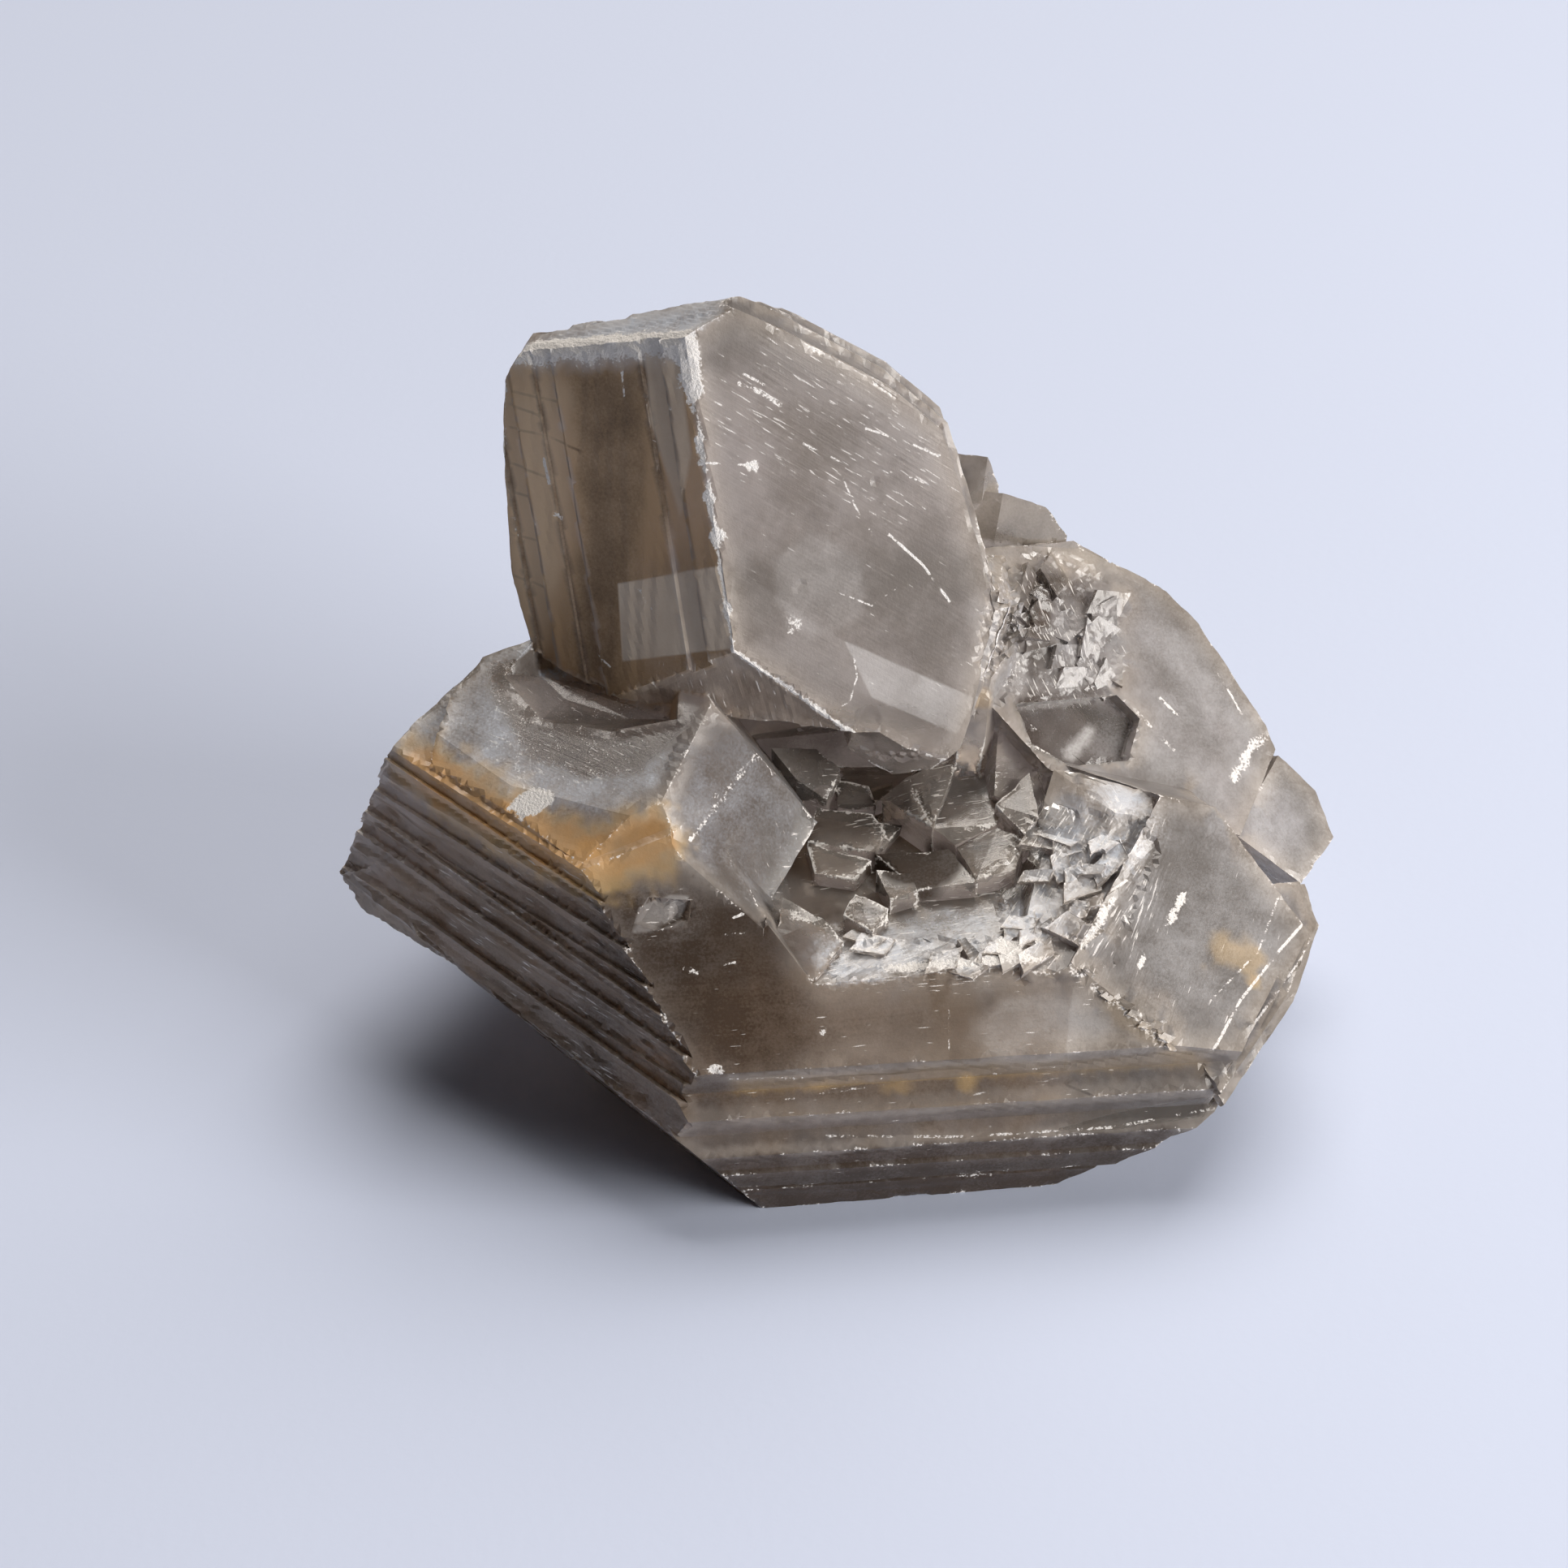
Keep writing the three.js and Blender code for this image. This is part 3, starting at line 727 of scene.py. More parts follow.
@dataclass(frozen=True)
class SmokyGypsum:
    """Selenite gypsum, grown in clay: a clear mineral clouded by smoky brown inclusions.

    It is soft, so its edges are bruised white, and its cleavage splits into bright silky sheets. The eye sees
    a greasy to glassy skin over a hazy, tea-coloured inside.
    """

    haze: str = "c8c1be"
    ash: str = "938b86"
    umber: str = "4a3a2c"
    tea: str = "b6976f"
    pale: str = "dad7d6"
    milk: str = "cdd3de"
    honey: str = "e8c383"
    rust: str = "d2a163"
    chalk: str = "f0ece8"
    ice: str = "efebe6"
    ior: float = 1.52
    rough: float = 0.40
    rough_swing: float = 0.06
    see_through: float = 0.70
    cloudy: float = 0.08
    skin: float = 0.4
    skin_rough: float = 0.13
    skin_ior: float = 1.5
    smoke: str = "d3b99a"
    smoke_per_m: float = 27.0
    cloud_mm: float = 13.0
    blotch_mm: float = 5.0
    flakes_per_mm: float = 0.95
    grit_per_mm: float = 3.8
    hair_deep: float = 0.00006
    grit_deep: float = 0.0002

    def make(self) -> bpy.types.Material:
        """Build the mineral's node material.

        Returns:
            The material.
        """
        made = bpy.data.materials.new("smoky_selenite_gypsum")
        made.use_nodes = True
        tree = made.node_tree
        tree.nodes.clear()
        seen = self.patterns(tree)
        tone = seen.tone
        body, through = self.clouded(tree, seen)
        body, stain = self.stained(tree, seen, body)
        frost = self.bruised(tree, seen)
        body = add_node(
            tree, "Mix", {"Factor": frost, "A": body, "B": linear(self.chalk)}, data_type="RGBA"
        )
        through = pulled(tree, through, ((stain, -0.25), (tone[Tone.CLEAR], 0.22), (frost, -0.95)))
        uneven = add_node(
            tree,
            "MapRange",
            {
                "Value": seen.mottle,
                "From Min": 0.3,
                "From Max": 0.7,
                "To Min": self.rough - self.rough_swing,
                "To Max": self.rough + self.rough_swing,
            },
        )
        pulls = ((tone[Tone.CLEAR], -0.34), (seen.broken, -0.06), (frost, 0.4), (tone[Tone.ETCH], 0.45))
        matt = pulled(tree, uneven, pulls)
        pulls = ((tone[Tone.UMBER], -0.3), (tone[Tone.TEA], -0.35), (tone[Tone.ETCH], -0.5), (frost, -0.35))
        gloss = pulled(tree, self.skin, pulls)
        surface = add_node(
            tree,
            "BsdfPrincipled",
            {
                "Base Color": body,
                "Roughness": matt,
                "IOR": self.ior,
                "Transmission Weight": through,
                "Coat Weight": gloss,
                "Coat Roughness": self.skin_rough,
                "Coat IOR": self.skin_ior,
                "Normal": self.brushed(tree, seen, frost),
            },
        )
        # The smoke in the clear mineral: what light loses on its way through, the same all over.
        inside = add_node(
            tree, "VolumeAbsorption", {"Color": linear(self.smoke), "Density": self.smoke_per_m}
        )
        add_node(tree, "OutputMaterial", {"Surface": surface, "Volume": inside})
        return made

    def patterns(self, tree: bpy.types.NodeTree) -> Patterns:
        """Read the stored tones and lay the patterns that the other parts share.

        Args:
            tree: The material's node tree.

        Returns:
            The tones and the patterns.
        """
        grain = add_node(tree, "Attribute", attribute_name="grain").outputs["Vector"]
        place = add_node(tree, "Attribute", attribute_name="sketch").outputs["Vector"]
        # Slow clouds 13 mm across, blotches of 5 mm, flakes of 1 mm and grit of a quarter of a millimetre.
        even = {
            name: add_node(
                tree, "TexNoise", {"Vector": place, "Scale": scale, "Detail": detail, "Roughness": roughness}
            ).outputs["Fac"]
            for name, scale, detail, roughness in (
                ("cloud", 1 / self.cloud_mm, 3.0, 0.5),
                ("mottle", 1 / self.blotch_mm, 4.0, 0.6),
                ("flake", self.flakes_per_mm, 2.0, 0.6),
                ("grit", self.grit_per_mm, 3.0, 0.65),
            )
        }
        # Growth lines half a millimetre apart, hairs 0.3 mm apart and short dashes of 2 by 0.25 mm run with
        # each face's grain.
        drawn = {}
        for name, stretch, detail, roughness, bend in (
            ("line", (0.07, 2.0, 0.2), 3.0, 0.6, 0.5),
            ("hair", (0.12, 3.2, 1.0), 3.0, 0.6, 0.0),
            ("dash", (0.5, 4.6, 1.5), 1.0, 0.5, 0.0),
        ):
            run = add_node(tree, "Mapping", {"Vector": grain, "Scale": stretch})
            feed = {"Vector": run, "Scale": 1.0, "Detail": detail, "Roughness": roughness, "Distortion": bend}
            drawn[name] = add_node(tree, "TexNoise", feed).outputs["Fac"]
        tones = {t: add_node(tree, "Attribute", attribute_name=t.value).outputs["Fac"] for t in Tone}
        broken = add_node(tree, "Attribute", attribute_name="broken").outputs["Fac"]
        return Patterns(tone=tones, broken=broken, **even, **drawn)

    def clouded(self, tree: bpy.types.NodeTree, seen: Patterns) -> tuple[bpy.types.Node, bpy.types.Node]:
        """Cloud the clear mineral, and tint it by its smoky, pale and milky tones, which also carry painted
        shade, glow, highlight and reflection.

        Args:
            tree: The material's node tree.
            seen: The tones and patterns.

        Returns:
            The colour, and how much light passes through.
        """
        tone = seen.tone
        streaky = add_node(tree, "Math", {0: tone[Tone.WISP], 1: 0.3, 2: 0.05}, operation="MULTIPLY_ADD")
        shaded = seen.cloud
        for pattern, weight in ((seen.line, streaky), (seen.mottle, 0.35), (seen.flake, 0.25)):
            shaded = add_node(tree, "Math", {0: pattern, 1: weight, 2: shaded}, operation="MULTIPLY_ADD")
        shade = add_node(
            tree,
            "MapRange",
            {"Value": shaded, "From Min": 0.72, "From Max": 1.06},
            interpolation_type="SMOOTHSTEP",
        )
        hazy = add_node(
            tree, "Mix", {"Factor": shade, "A": linear(self.ash), "B": linear(self.haze)}, data_type="RGBA"
        )
        glassy = add_node(tree, "Math", {0: tone[Tone.CLEAR], 1: 0.75}, operation="MULTIPLY", use_clamp=True)
        body = add_node(
            tree, "Mix", {"Factor": glassy, "A": hazy, "B": linear(self.ice)}, data_type="RGBA"
        )
        through = add_node(
            tree,
            "MapRange",
            {
                "Value": seen.cloud,
                "From Min": 0.3,
                "From Max": 0.7,
                "To Min": self.see_through - self.cloudy,
                "To Max": self.see_through + self.cloudy,
            },
        )
        # Each tone has its own colour and clouds the mineral by its own amount. The mottling and the growth
        # lines break it up, so that no soft patch looks painted on.
        centred = add_node(tree, "Math", {0: seen.line, 1: 0.5}, operation="SUBTRACT")
        ruled = add_node(tree, "Math", {0: centred, 1: streaky}, operation="MULTIPLY")
        patchy = add_node(tree, "Math", {0: seen.mottle, 1: 0.6}, operation="MULTIPLY")
        dusty = add_node(tree, "Math", {0: seen.grit, 1: 0.4, 2: patchy}, operation="MULTIPLY_ADD")
        for kind, colour, spread, lines, pull in (
            (Tone.TEA, self.tea, 0.25, 1.2, -0.2),
            (Tone.UMBER, self.umber, 0.45, 1.8, -0.25),
            (Tone.PALE, self.pale, 0.3, 0.4, -0.45),
            (Tone.MILK, self.milk, 1.0, 1.0, -0.45),
        ):
            blotch = add_node(
                tree,
                "MapRange",
                {"Value": dusty, "From Min": 0.36, "From Max": 0.64, "To Min": -spread, "To Max": spread},
            )
            halved = add_node(tree, "Math", {0: blotch, 1: 0.5}, operation="MULTIPLY")
            uneven = add_node(tree, "Math", {0: ruled, 1: lines, 2: halved}, operation="MULTIPLY_ADD")
            lift = add_node(tree, "MapRange", {"Value": tone[kind], "From Max": 0.3})
            held = add_node(
                tree, "Math", {0: uneven, 1: lift, 2: tone[kind]}, operation="MULTIPLY_ADD", use_clamp=True
            )
            body = add_node(
                tree, "Mix", {"Factor": held, "A": body, "B": linear(colour)}, data_type="RGBA"
            )
            through = pulled(tree, through, ((held, pull),))
        return body, through

    def stained(
        self, tree: bpy.types.NodeTree, seen: Patterns, body: bpy.types.Node
    ) -> tuple[bpy.types.Node, bpy.types.Node]:
        """Stain the colour with iron: honey where it is thin and rust where it is thick.

        Args:
            tree: The material's node tree.
            seen: The tones and patterns.
            body: The colour before.

        Returns:
            The stained colour, and how strong the stain is.
        """
        blotched = add_node(
            tree, "MapRange", {"Value": seen.mottle, "From Min": 0.35, "From Max": 0.65, "To Min": 0.8}
        )
        stain = add_node(
            tree, "Math", {0: seen.tone[Tone.IRON], 1: blotched}, operation="MULTIPLY", use_clamp=True
        )
        rust_part = add_node(
            tree,
            "MapRange",
            {"Value": stain, "From Min": 0.45, "From Max": 0.95},
            interpolation_type="SMOOTHSTEP",
        )
        iron = add_node(
            tree,
            "Mix",
            {"Factor": rust_part, "A": linear(self.honey), "B": linear(self.rust)},
            data_type="RGBA",
        )
        return add_node(tree, "Mix", {"Factor": stain, "A": body, "B": iron}, data_type="RGBA"), stain

    def bruised(self, tree: bpy.types.NodeTree, seen: Patterns) -> bpy.types.Node:
        """Crush the mineral white at its bruises, and draw short white flaws with the grain.

        Args:
            tree: The material's node tree.
            seen: The tones and patterns.

        Returns:
            How white the mineral is.
        """
        # A bruise is solid at the edge and breaks up into grains and flakes beside it.
        crumb = add_node(tree, "Math", {0: seen.grit, 1: 1.1, 2: -0.85}, operation="MULTIPLY_ADD")
        ragged = add_node(tree, "Math", {0: seen.flake, 1: 0.6, 2: crumb}, operation="MULTIPLY_ADD")
        white = add_node(tree, "Math", {0: seen.tone[Tone.FROST], 1: ragged}, operation="ADD")
        powder = add_node(
            tree,
            "MapRange",
            {"Value": white, "From Min": 0.38, "From Max": 0.62},
            interpolation_type="SMOOTHSTEP",
        )
        rare = add_node(
            tree, "Math", {0: seen.tone[Tone.WISP], 1: 0.16, 2: seen.dash}, operation="MULTIPLY_ADD"
        )
        clumped = add_node(tree, "Math", {0: seen.mottle, 1: 0.25, 2: rare}, operation="MULTIPLY_ADD")
        flaw = add_node(
            tree,
            "MapRange",
            {"Value": clumped, "From Min": 0.90, "From Max": 0.97},
            interpolation_type="SMOOTHSTEP",
        )
        thin = add_node(tree, "MapRange", {"Value": seen.tone[Tone.WISP], "From Max": 0.3})
        wisp = add_node(tree, "Math", {0: flaw, 1: thin}, operation="MULTIPLY")
        soft_wisp = add_node(tree, "Math", {0: wisp, 1: 0.65}, operation="MULTIPLY")
        return add_node(tree, "Math", {0: powder, 1: soft_wisp}, operation="MAXIMUM")

    def brushed(self, tree: bpy.types.NodeTree, seen: Patterns, frost: bpy.types.Node) -> bpy.types.Node:
        """Add the relief too fine for the mesh: hairs with the grain, and grit that bruises have most of.

        Args:
            tree: The material's node tree.
            seen: The tones and patterns.
            frost: How white the mineral is.

        Returns:
            The bumped direction that the surface faces.
        """
        silky = add_node(
            tree,
            "Math",
            {0: seen.tone[Tone.WISP], 1: 0.5, 2: 0.04},
            operation="MULTIPLY_ADD",
            use_clamp=True,
        )
        fine = add_node(
            tree, "Bump", {"Strength": silky, "Distance": self.hair_deep, "Height": seen.hair}
        )
        heavy = add_node(tree, "Math", {0: frost, 1: 0.8, 2: 0.10}, operation="MULTIPLY_ADD")
        return add_node(
            tree,
            "Bump",
            {"Strength": heavy, "Distance": self.grit_deep, "Height": seen.grit, "Normal": fine},
        )


@dataclass(frozen=True)
class MattCard:
    """Uncoated card: a faint tooth and no shine, so that it takes only soft shadows."""

    colour: str = "d0d9ef"
    rough: float = 0.9

    def make(self) -> bpy.types.Material:
        """Build the card's node material.

        Returns:
            The material.
        """
        made = bpy.data.materials.new("uncoated_pale_card")
        made.use_nodes = True
        tree = made.node_tree
        tree.nodes.clear()
        place = add_node(tree, "TexCoord").outputs["Object"]
        tooth = add_node(tree, "TexNoise", {"Vector": place, "Scale": 900.0, "Detail": 2.0})
        bump = add_node(tree, "Bump", {"Strength": 0.15, "Distance": 0.0001, "Height": tooth.outputs["Fac"]})
        surface = add_node(
            tree,
            "BsdfPrincipled",
            {"Base Color": linear(self.colour), "Roughness": self.rough, "Normal": bump},
        )
        add_node(tree, "OutputMaterial", {"Surface": surface})
        return made


@dataclass(frozen=True)
class Plot:
    """One face's points, as its relief reads them. Lengths are in mm.

    Attributes:
        face: The face.
        number: Its place in the table of faces, which stirs its noise.
        here: The points, one a row.
        run: Their places along the grain.
        side: Their places across the grain.
        inside: From 0 on a crisp edge to 1 well inside the face.
        slow: A slow swell that all faces share.
    """

    PIT_MM: ClassVar[float] = 6.5
    PIT_RIM: ClassVar[tuple[float, float]] = (0.10, 0.04)
    PIT_RARE: ClassVar[float] = 0.75
    LEDGE_SWAY: ClassVar[float] = 2.2
    LEDGE_SWAY_MM: ClassVar[tuple[float, float]] = (14, 5)
    LEDGE_RUN_MM: ClassVar[float] = 7
    FIBRE_SWAY: ClassVar[float] = 2.6
    FIBRE_SWAY_MM: ClassVar[tuple[float, float]] = (6.0, 4.0)
    FIBRE_MM: ClassVar[tuple[float, float]] = (3.6, 0.8)
    BUNDLE_MM: ClassVar[float] = 7.0
    FOLD_MM: ClassVar[float] = 2.4
    FINE_FOLD_MM: ClassVar[float] = 1.1
    SUGAR_MM: ClassVar[float] = 1.1
    LUMP_MM: ClassVar[float] = 2.6

    face: Face
    number: int
    here: np.ndarray
    run: np.ndarray
    side: np.ndarray
    inside: np.ndarray
    slow: np.ndarray

    def depth(self) -> np.ndarray:
        """Work out how deep the face's habit cuts.

        Returns:
            Each point's depth, with the face's own strength.
        """
        habits = {
            Habit.SMOOTH: self.pitted,
            Habit.LEDGED: self.ledged,
            Habit.FIBROUS: self.fibred,
            Habit.SHARDED: self.shattered,
            Habit.SUGARY: self.sugared,
        }
        return self.face.relief * habits[self.face.habit]()

    def pitted(self) -> np.ndarray:
        """Swell slowly, with a few shallow pits.

        Returns:
            Each point's depth before the face's own strength.
        """
        gap, name = Noise.cells(self.here / self.PIT_MM, Seed.PITS + self.number)
        pit = ease(*self.PIT_RIM, gap) * (name > self.PIT_RARE)
        return (0.16 * self.slow + 0.25 * pit) * self.inside

    def ledged(self) -> np.ndarray:
        """Step down in ledges along the grain, each by its own height.

        Returns:
            Each point's depth before the face's own strength.
        """
        step, level = self.face.step, self.run * 0
        along, across = self.LEDGE_SWAY_MM
        spots = np.stack([self.run / along, self.side / across, level], 1)
        warped = self.side + self.LEDGE_SWAY * (Noise.layered(spots, Seed.LEDGE_SWAY + self.number) - 0.5)
        count = np.floor(warped / step)
        saw = warped / step - count
        ledges = np.stack([count, self.run / self.LEDGE_RUN_MM, level], 1)
        lift = Noise.smooth(ledges, Seed.LEDGE_HEIGHT + self.number)
        # A ledge falls away over one triangle's width, so that the mesh can carry it without gaps.
        brink = 1.0 - min(0.5, 1.1 * self.face.cut.value / step)
        tread = 0.34 * lift * ease(0.0, brink, saw) * ease(1.0, brink, saw)
        return (tread + 0.15 * self.slow) * self.inside

    def fibred(self) -> np.ndarray:
        """Raise bundles of fibres along the grain, strong in some places and faint in others.

        Returns:
            Each point's depth before the face's own strength.
        """
        level = self.run * 0 + self.number
        along, across = self.FIBRE_SWAY_MM
        spots = np.stack([self.run / along, self.side / across, level], 1)
        bent = self.side + self.FIBRE_SWAY * (Noise.layered(spots, Seed.FIBRE_SWAY) - 0.5)
        long, wide = self.FIBRE_MM
        fibre = Noise.layered(np.stack([self.run / long, bent / wide, level], 1), Seed.FIBRES)
        swell = ease(0.3, 0.62, Noise.layered(self.here / self.BUNDLE_MM, Seed.BUNDLES))
        return ((0.12 + 0.42 * swell) * fibre + 0.3 * self.slow) * (0.35 + 0.65 * self.inside)

    def shattered(self) -> np.ndarray:
        """Crumple the face into sharp folds of two sizes.

        Returns:
            Each point's depth before the face's own strength.
        """
        fold = np.abs(2.0 * Noise.layered(self.here / self.FOLD_MM, Seed.FOLDS) - 1.0)
        fine = np.abs(2.0 * Noise.layered(self.here / self.FINE_FOLD_MM, Seed.FINE_FOLDS) - 1.0)
        return (0.7 * fold + 0.35 * fine) * (0.3 + 0.7 * self.inside)

    def sugared(self) -> np.ndarray:
        """Grow small rounded grains, like coarse sugar.

        Returns:
            Each point's depth before the face's own strength.
        """
        gap, _ = Noise.cells(self.here / self.SUGAR_MM, Seed.SUGAR)
        lumps = Noise.layered(self.here / self.LUMP_MM, Seed.SUGAR_LUMPS)
        return 0.2 * ease(0.1, 0.8, gap) + 0.3 * lumps


FACES: tuple[Face, ...] = (
    Face(
        "upper right face", Habit.SMOOTH, (1, 4, 58), (24, 12, 26),
        (0.81, 0.01, -0.58), (0.3, -0.86, 0.4), relief=0.6,
    ),
    Face(
        "upper left face", Habit.LEDGED, (-22, 6, 58), (14, 12, 22),
        (-0.03, -0.28, -0.96), (-0.48, -0.83, 0.27), relief=0.3, step=1.7, wear_and_glow=0,
    ),
    Face(
        "upper top strip", Habit.LEDGED, (-18, 15, 76), (12, 6, 5),
        (0.87, -0.33, 0.36), (-0.37, 0.02, 0.93), Cut.FINE, 0.5, 1,
    ),
    Face(
        "upper under face", Habit.FIBROUS, (-7, -2, 43), (14, 8, 7),
        (0.25, 0.27, -0.93), (-0.32, -0.89, -0.34), Cut.FINE, 0.7,
    ),
    Face("upper flank", Habit.SMOOTH, (16, 14, 56), (12, 18, 25), (0.5, 0.1, -0.86), (0.9, 0.3, 0.2)),
    Face(
        "upper back", Habit.LEDGED, (-6, 28, 52), (26, 12, 26),
        (0.4, 0.1, -0.9), (0.1, 0.98, 0.1), relief=0.6,
    ),
    Face(
        "front face", Habit.SMOOTH, (6, -25, 22), (34, 10, 12),
        (0.99, 0.12, -0.01), (0.1, -0.76, 0.64), relief=0.8,
    ),
    Face(
        "left face", Habit.FIBROUS, (-28, -18, 24), (26, 18, 16),
        (0.79, -0.6, -0.15), (-0.56, -0.8, 0.21), Cut.FINE, 1.25, wear_and_glow=0.4, crumble=1.3,
    ),
    Face("milky top", Habit.SMOOTH, (-29, -2, 41), (14, 14, 7), (0.7, -0.5, 0.1), (-0.12, -0.34, 0.93)),
    Face("clear block", Habit.SMOOTH, (-9, -8, 34.5), (9, 10, 8.5), (0.45, -0.3, -0.8), relief=0.2),
    Face(
        "right face", Habit.SMOOTH, (36, -13, 24), (14, 12, 9),
        (0.36, 0.83, 0.42), (0.3, -0.53, 0.79), relief=0.6,
    ),
    Face("hollow", Habit.SHARDED, (6, -6, 29), (15, 19, 8), (0.9, 0.2, -0.1), relief=0.07),
    Face("silky slope", Habit.FIBROUS, (24, -12, 27.5), (9.5, 13, 5), (0.5, 0.8, 0.3), None, Cut.FINE, 0.8),
    Face("silky ledge", Habit.FIBROUS, (9, -20, 25), (11, 3.5, 2.5), (0.9, 0.4, 0.05), None, Cut.FINE, 0.8),
    Face(
        "lean face", Habit.SMOOTH, (35, 12, 33), (15, 15, 12),
        (0.48, -0.59, -0.65), (0.42, -0.5, 0.76), relief=0.5,
    ),
    Face(
        "lean break", Habit.SHARDED, (23.5, 13, 40.5), (8, 10, 7),
        (0.3, -0.6, -0.7), None, Cut.FINE, 0.6, wear_and_glow=0.4,
    ),
    Face("crust", Habit.SUGARY, (16, 9, 45), (3.4, 8, 8), (0.1, 0.2, -0.97), None, Cut.FINE),
    Face(
        "under slope", Habit.LEDGED, (5, -24, 8), (40, 12, 8),
        (0.99, 0.12, 0), (0.1, -0.8, -0.6), relief=0.5, step=1.6,
    ),
    Face("foot", Habit.SMOOTH, (0, 0, 0), (50, 35, 8), (1, 0.1, 0), (0, 0, -1), Cut.WIDE),
    Face(
        "rear growth", Habit.LEDGED, (5, 30, 25), (45, 12, 22),
        (0.95, 0.1, -0.2), (0, 0.95, 0.2), relief=0.8,
    ),
    Face(
        "right end", Habit.LEDGED, (48, 2, 15), (8, 25, 14),
        (0.4, 0.8, 0.3), (0.95, 0.1, 0.1), relief=0.6,
    ),
)

# Directions that the marked faces look in.
UPPER_RIGHT: Vec3 = (0.303, -0.864, 0.403)
UPPER_LEFT: Vec3 = (-0.48, -0.83, 0.27)
LEFTWARD: Vec3 = (-0.8, -0.6, 0.2)
STRIP: Vec3 = (-0.37, 0, 0.93)
UNDER: Vec3 = (-0.3, -0.9, -0.3)
MILKY: Vec3 = (-0.1, -0.3, 0.9)
FRONT: Vec3 = (0.105, -0.755, 0.648)
RIGHT: Vec3 = (0.3, -0.53, 0.79)
LEAN: Vec3 = (0.424, -0.494, 0.759)
UPWARD: Vec3 = (0.1, 0.1, 1)

# The clear foot of the milky crystal, beside the standing crystal.
RECESS: Chain = (
    (-34.7, 4.8, 42.8), (-33.6, -0.4, 41.1), (-30.1, -6.1, 39.4), (-24.4, -9.4, 39), (-18.9, -9.2, 39.8),
    (-13.4, -3.7, 42.5), (-20, 4, 42.5),
)
# The clear recess in the leaning crystal.
LENS: Chain = (
    (17.6, 6, 36.7), (27.4, 11.2, 34.8), (31, 9.4, 31.7), (29.6, 5.1, 29.6), (23.2, 2.1, 31.2),
    (19.4, 2.6, 33.7),
)
# The flake scar on the front.
SCAR: Chain = (
    (-19.6, -21.5, 29.6), (-18.9, -19.8, 31.4), (-15.9, -18.8, 32.2), (-14.1, -18.7, 32),
    (-15, -19.7, 30.2), (-17.9, -21.2, 29.6),
)
# A pale sheet low in the upper left face.
WINDOW: Chain = ((-21.4, 3.9, 52.7), (-10.9, -0.5, 57.9), (-9.8, -3.5, 50.3), (-21.1, 1.4, 45.2))
# A pale flaw along the top of that face's right edge.
WEDGE: Chain = (
    (-18.5, 9.6, 75.8), (-15, 7.4, 75.3), (-13.9, 4.3, 67.4), (-15.2, 3, 60.9), (-17.9, 7.2, 69.2),
)
# The smoky cores of the upper left face and of the front.
UPPER_CORE: Chain = (
    (-25.8, 12.7, 72.2), (-18.6, 8.9, 73.5), (-18.8, 5.7, 62.9), (-21.6, 0.7, 42.3), (-26.6, 3.1, 40.5),
    (-24.5, 7.9, 59.6),
)
FRONT_CORE: Chain = (
    (-23, -18.6, 34.3), (-5, -17.5, 31.5), (-2.4, -27.5, 20), (-9.6, -31.1, 16.9), (-20.3, -22, 29),
)
# The stained band along the front's ledge.
OCHRE_BAND: Chain = (
    (-9.8, -29.6, 17.4), (12.5, -28.4, 17), (36.9, -26, 15.6), (36.9, -25.1, 12.6), (12.5, -27, 13.6),
    (-9.8, -29.1, 14.6),
)
# Cleavage sheets inside the front, the clear block and the upper crystal.
FRONT_SHEET: Chain = (
    (-17.5, -24.6, 24.6), (-12.4, -24.4, 25.1), (-9.5, -22.9, 26.3), (-7.7, -25.1, 23.4),
    (-8.1, -27.5, 20.8), (-12, -29, 18.8),
)
BLOCK_SIDE: Chain = ((-14, -13.9, 35), (-7.7, -4.5, 38.3), (-5.9, -3.9, 35.3), (-11.7, -13.3, 32.6))
GHOST_SHEET: Chain = (
    (-5.9, 1.4, 57.3), (-2.3, 3.5, 59.2), (2.6, 3.6, 55.8), (2.8, 1.3, 50.7), (-2.3, -1.1, 49.5),
    (-5.7, -0.4, 53.3),
)
TOE_SHEET: Chain = ((0.9, -0.2, 48.9), (13.9, 0.8, 41.2), (12.3, -1.2, 38.2), (3.7, -1.9, 43.2))
HEEL_SHEET: Chain = (
    (-9.7, 0, 57.3), (0.9, -0.2, 48.9), (3.7, -1.9, 43.2), (-2.3, -2.4, 46.5), (-10.2, -2.1, 53.1),
)
BROW_SHEET: Chain = (
    (-10, 10.5, 80.1), (-5.5, 11.5, 78.7), (11.9, 11.2, 64.9), (12.3, 10.1, 62.4), (-2.4, 10.2, 73.7),
)
# Clear corners at the right end of the front.
CORNER_SHEET: Chain = (
    (22.4, -25.6, 18.1), (23.1, -27.9, 15.2), (35.9, -27.2, 14.1), (32.6, -25, 17.1), (27.2, -21.5, 22),
    (23.1, -21.4, 22.8),
)
LEDGE_END: Chain = (
    (21.7, -27.5, 9.3), (27.6, -26, 10.1), (38.2, -24.8, 11.4), (36.5, -25.6, 9.2), (27.6, -27.1, 8.9),
)
# Edges and creases that bruises and stains follow.
LEFT_EDGE: Chain = ((-31, 16, 72), (-32.6, 15.7, 69.2), (-33, 12.5, 58.5), (-32.5, 9, 49), (-31, 7, 44))
MILKY_CREASE: Chain = ((-40.5, -5.2, 36.8), (-34, -10.6, 35.6), (-29, -13.7, 35), (-24, -16.8, 35.2))
TOP_RIM: Chain = ((-31, 16, 72), (-14.5, 8, 78))
LEFT_RIDGE: Chain = ((-24.5, -18, 34.5), (-11, -32.5, 15))
SILKY_SWEEP: Chain = ((28, -5, 31), (23.5, -11, 28), (16.5, -17, 26), (7.5, -18.5, 25.2), (1.5, -20, 25))
SWEEP_CREST: Chain = ((28.5, -5, 31.4), (24.2, -12, 27.8), (16.7, -18.6, 25.5), (7.2, -19.6, 24.9))
